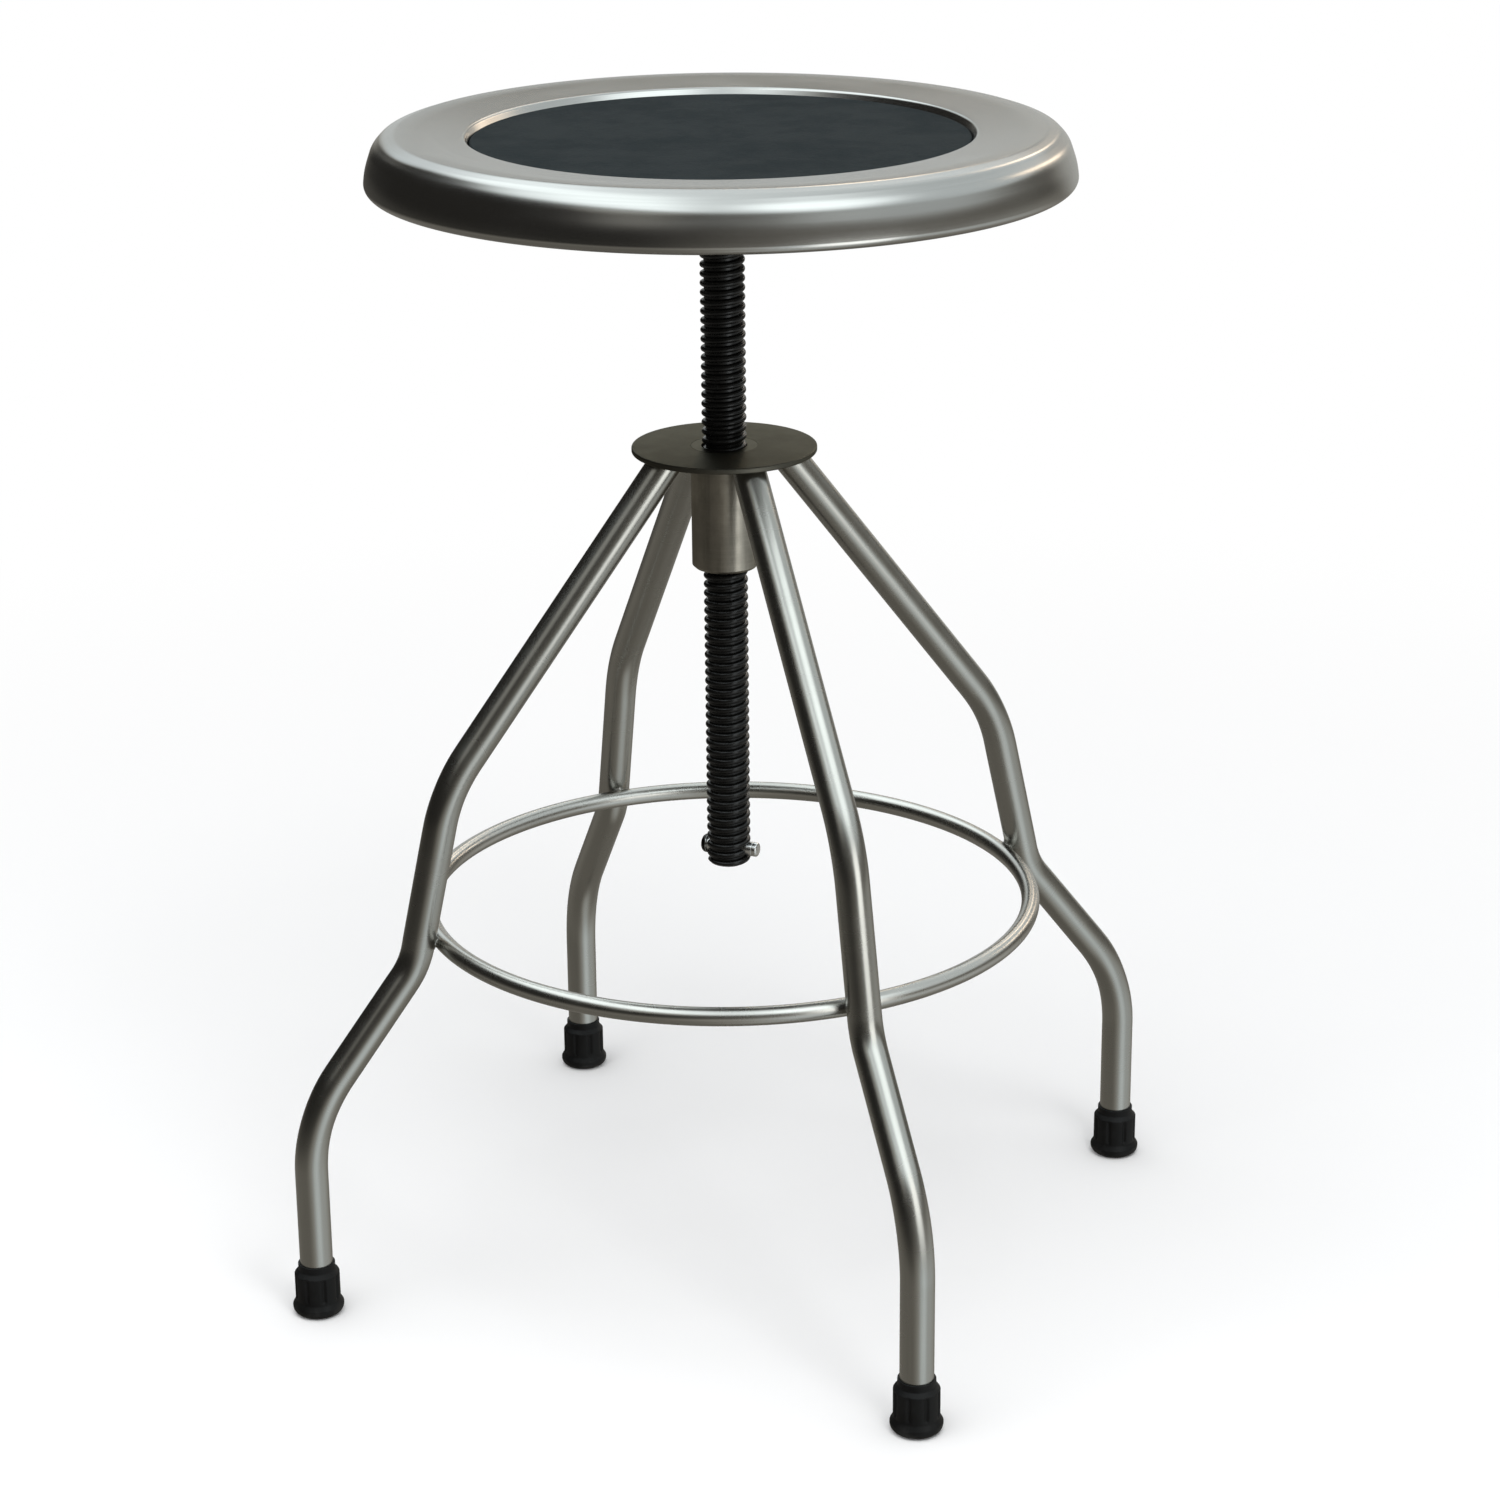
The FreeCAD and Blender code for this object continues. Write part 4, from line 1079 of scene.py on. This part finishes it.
def room_in_metal(f, place, s):
    """How bright the room looks in the metal, by direction: unlit at the left and grey at the right, with a
    pale floor, a backdrop behind the stool, a bright corner behind at the left, a ceiling that is brighter at
    the left and reaches lower there in front, a lamp high in front at the right, and a window's light on the
    floor below it. Each of them fades in over a range of how far the direction points its way."""
    right, away, up = view_axes(s)
    wall_way = right - 0.5 * away
    backdrop_way = away + 0.25 * right + 0.25 * up
    ceiling_way = up + 0.08 * away + 0.30 * right
    corner_way = -0.32 * right + 0.833 * away + 0.448 * up
    glow_way = -0.378 * right - 0.64 * away + 0.669 * up
    lamp_way = 0.43 * right - 0.46 * away + 0.777 * up
    rise = f.towards(place, up)
    aside = f.towards(place, right)
    walls = f.spread(f.towards(place, wall_way), -0.10, 1.10, s.left_level, s.right_level)
    walls = f.faded(walls, rise, -0.14, -0.02, 1.0, 0.30)
    walls = f.faded(walls, rise, -0.75, -0.38, 0.30, 1.0)
    floor = f.spread(rise, -0.45, -0.15, s.floor_level, 0.0)
    backdrop = f.spread(f.towards(place, backdrop_way), 0.82, 0.97, 0.0, s.backdrop_level)
    shade = f.math("SUBTRACT", rise, f.math("MULTIPLY", f.math("ABSOLUTE", aside), 0.6))
    backdrop = f.faded(backdrop, shade, 0.12, 0.36, 1.0, 0.32)
    backdrop = f.faded(backdrop, aside, 0.0, 0.25, 1.0, 0.8)
    ceiling = f.spread(f.towards(place, ceiling_way), 0.46, 0.60, 0.0, s.ceiling_level)
    ceiling = f.faded(ceiling, aside, -0.30, 0.0, 1.9, 1.0)
    ceiling = f.faded(ceiling, aside, -0.75, -0.40, 0.75, 1.0)
    ceiling = f.faded(ceiling, aside, 0.0, 0.6, 1.0, 0.72)
    corner = f.spread(f.towards(place, corner_way), 0.955, 0.99, 0.0, s.corner_level)
    glow = f.spread(f.towards(place, glow_way), 0.92, 0.985, 0.0, s.glow_level)
    brightest = f.math("ADD", walls, floor)
    for part in (backdrop, ceiling, corner, glow):
        brightest = f.math("MAXIMUM", brightest, part)
    lamp = f.spread(f.towards(place, lamp_way), 0.90, 0.985, 0.0, s.lamp_level)
    ahead, beside = window_axes(s)
    window = f.spread(f.math("ABSOLUTE", f.towards(place, beside)), 0.10, 0.48, s.window_level, 0.0)
    window = f.faded(window, f.towards(place, ahead), 0.10, 0.40, 0.0, 1.0)
    window = f.faded(window, rise, -0.15, -0.02, 1.0, 0.0)
    return f.math("ADD", f.math("ADD", brightest, window), lamp)


def direction(s, aside, rise):
    """Unit vector to the right of straight ahead and above the level, both in degrees."""
    right, away, up = view_axes(s)
    aside = math.radians(aside)
    rise = math.radians(rise)
    return math.cos(rise) * (math.sin(aside) * right + math.cos(aside) * away) + math.sin(rise) * up


def strips_in_metal(f, place, s):
    """How bright three narrow strip lamps behind at the right look in the metal. Each runs along the great
    circle between two directions and is mirrored as a thin line along one of the pan's creases."""
    total = 0.0
    for start, end in STRIP_ENDS:
        a = direction(s, *start)
        b = direction(s, *end)
        middle = unit(a + b)
        reach = float(a @ middle)
        across = f.math("ABSOLUTE", f.towards(place, unit(np.cross(a, b))))
        strip = f.spread(across, STRIP_CORE, STRIP_EDGE, s.strip_level, 0.0)
        ends = f.spread(f.towards(place, middle), 2 * reach - 1, 0.5 + 0.5 * reach, 0.0, 1.0)
        total = f.math("ADD", f.math("MULTIPLY", strip, ends), total)
    return total


def studio_world(s):
    """White to the camera, a room to the metal, and an even fill to everything else."""
    world = bpy.data.worlds.new("studio")
    bpy.context.scene.world = world
    world.use_nodes = True
    world.node_tree.nodes.clear()
    f = Nodes(world.node_tree)
    ray = f.add("ShaderNodeLightPath")
    place = f.add("ShaderNodeTexCoord").outputs["Generated"]
    in_metal = room_in_metal(f, place, s)
    strips = strips_in_metal(f, place, s)
    shown = f.math("MAXIMUM", ray.outputs["Is Camera Ray"], ray.outputs["Is Transmission Ray"])
    fill = f.add("ShaderNodeBackground", Color=(0.98, 0.99, 1.0, 1.0), Strength=s.fill_level)
    tint = f.mixed(f.spread(in_metal, 0.15, 1.2, 0.0, 1.0), (1.0, 0.95, 0.84), (0.88, 0.965, 1.0))
    tint = f.mixed(f.spread(strips, 0.0, 1.0, 0.0, 1.0), tint, (1.0, 0.84, 0.68))
    room = f.add("ShaderNodeBackground", Color=tint, Strength=f.math("ADD", in_metal, strips))
    white = f.add("ShaderNodeBackground", Color=(1.0, 1.0, 1.0, 1.0), Strength=1.0)
    unseen = f.add("ShaderNodeMixShader", Fac=ray.outputs["Is Glossy Ray"])
    f.feed(unseen.inputs[1], fill.outputs["Background"])
    f.feed(unseen.inputs[2], room.outputs["Background"])
    mix = f.add("ShaderNodeMixShader", Fac=shown)
    f.feed(mix.inputs[1], unseen.outputs["Shader"])
    f.feed(mix.inputs[2], white.outputs["Background"])
    f.add("ShaderNodeOutputWorld", Surface=mix.outputs["Shader"])


def soft_light(name, place, aim, width, height, watts):
    """A rectangular soft light at a place, facing a point. The metal doesn't mirror it."""
    data = bpy.data.lights.new(name, "AREA")
    data.shape = "RECTANGLE"
    data.size = width
    data.size_y = height
    data.energy = watts
    lamp = bpy.data.objects.new(name, data)
    back = unit(place - aim)
    side = unit(np.cross([0, 0, 1], back))
    turn = Matrix(np.stack([side, np.cross(back, side), back], 1).tolist()).to_4x4()
    turn.translation = place.tolist()
    lamp.matrix_world = turn
    lamp.visible_glossy = False
    bpy.context.scene.collection.objects.link(lamp)


def soft_lights(s):
    """A wide overhead soft box and a smaller one high in front at the right, for what isn't metal."""
    right, away, up = view_axes(s)
    aim = 0.45 * up
    overhead = -0.30 * right - 0.60 * away + 2.25 * up
    front = 0.60 * right - 1.05 * away + 1.95 * up
    soft_light("overhead_box", overhead, aim, 2.2, 2.2, s.overhead_watts)
    soft_light("front_box", front, aim, 0.45, 0.8, s.front_watts)


def photograph_camera(s):
    """The camera at the photograph's angle: panned, pitched down, then rolled about its line of sight."""
    right, away, up = view_axes(s)
    place = -s.camera_distance * away + s.camera_height * up
    side = math.cos(s.camera_pan) * right - math.sin(s.camera_pan) * away
    ahead = math.sin(s.camera_pan) * right + math.cos(s.camera_pan) * away
    sight = math.cos(s.camera_pitch) * ahead - math.sin(s.camera_pitch) * up
    top = math.sin(s.camera_pitch) * ahead + math.cos(s.camera_pitch) * up
    roll = -s.camera_roll
    rolled_side = math.cos(roll) * side + math.sin(roll) * top
    rolled_top = math.cos(roll) * top - math.sin(roll) * side
    data = bpy.data.cameras.new("photograph_camera")
    data.sensor_width = 36.0
    data.lens = s.lens
    camera = bpy.data.objects.new("photograph_camera", data)
    turn = Matrix(np.stack([rolled_side, rolled_top, -sight], 1).tolist()).to_4x4()
    turn.translation = place.tolist()
    camera.matrix_world = turn
    bpy.context.scene.collection.objects.link(camera)
    bpy.context.scene.camera = camera


class VIEW3D_PT_stool(bpy.types.Panel):
    """The stool's pieces and their settings"""

    bl_label = "Exam Stool"
    bl_space_type = "VIEW_3D"
    bl_region_type = "UI"
    bl_category = "Stool"

    def draw(self, context):
        for operator in OPERATORS:
            self.layout.operator(operator.bl_idname)
        for group in GROUPS:
            values = getattr(context.scene, group)
            box = self.layout.box()
            for name in values.__annotations__:
                box.prop(values, name)


OPERATORS = (STOOL_OT_seat_pan, STOOL_OT_seat_pad, STOOL_OT_under_seat, STOOL_OT_lift_screw, STOOL_OT_hub,
             STOOL_OT_legs, STOOL_OT_foot_ring, STOOL_OT_foot_tips, STOOL_OT_stage)
GROUPS = {"stool_seat": SeatSettings, "stool_screw": ScrewSettings, "stool_legs": LegSettings,
          "stool_stage": StageSettings}


def register():
    for group in GROUPS.values():
        bpy.utils.register_class(group)
    for name, group in GROUPS.items():
        setattr(bpy.types.Scene, name, PointerProperty(type=group))
    for operator in OPERATORS:
        bpy.utils.register_class(operator)
    bpy.utils.register_class(VIEW3D_PT_stool)


def unregister():
    bpy.utils.unregister_class(VIEW3D_PT_stool)
    for operator in reversed(OPERATORS):
        bpy.utils.unregister_class(operator)
    for name, group in GROUPS.items():
        delattr(bpy.types.Scene, name)
        bpy.utils.unregister_class(group)


def main():
    register()
    bpy.ops.stool.seat_pan()
    bpy.ops.stool.seat_pad()
    bpy.ops.stool.under_seat()
    bpy.ops.stool.lift_screw()
    bpy.ops.stool.hub()
    bpy.ops.stool.legs()
    bpy.ops.stool.foot_ring()
    bpy.ops.stool.foot_tips()
    bpy.ops.stool.stage()


if __name__ == "__main__":
    main()
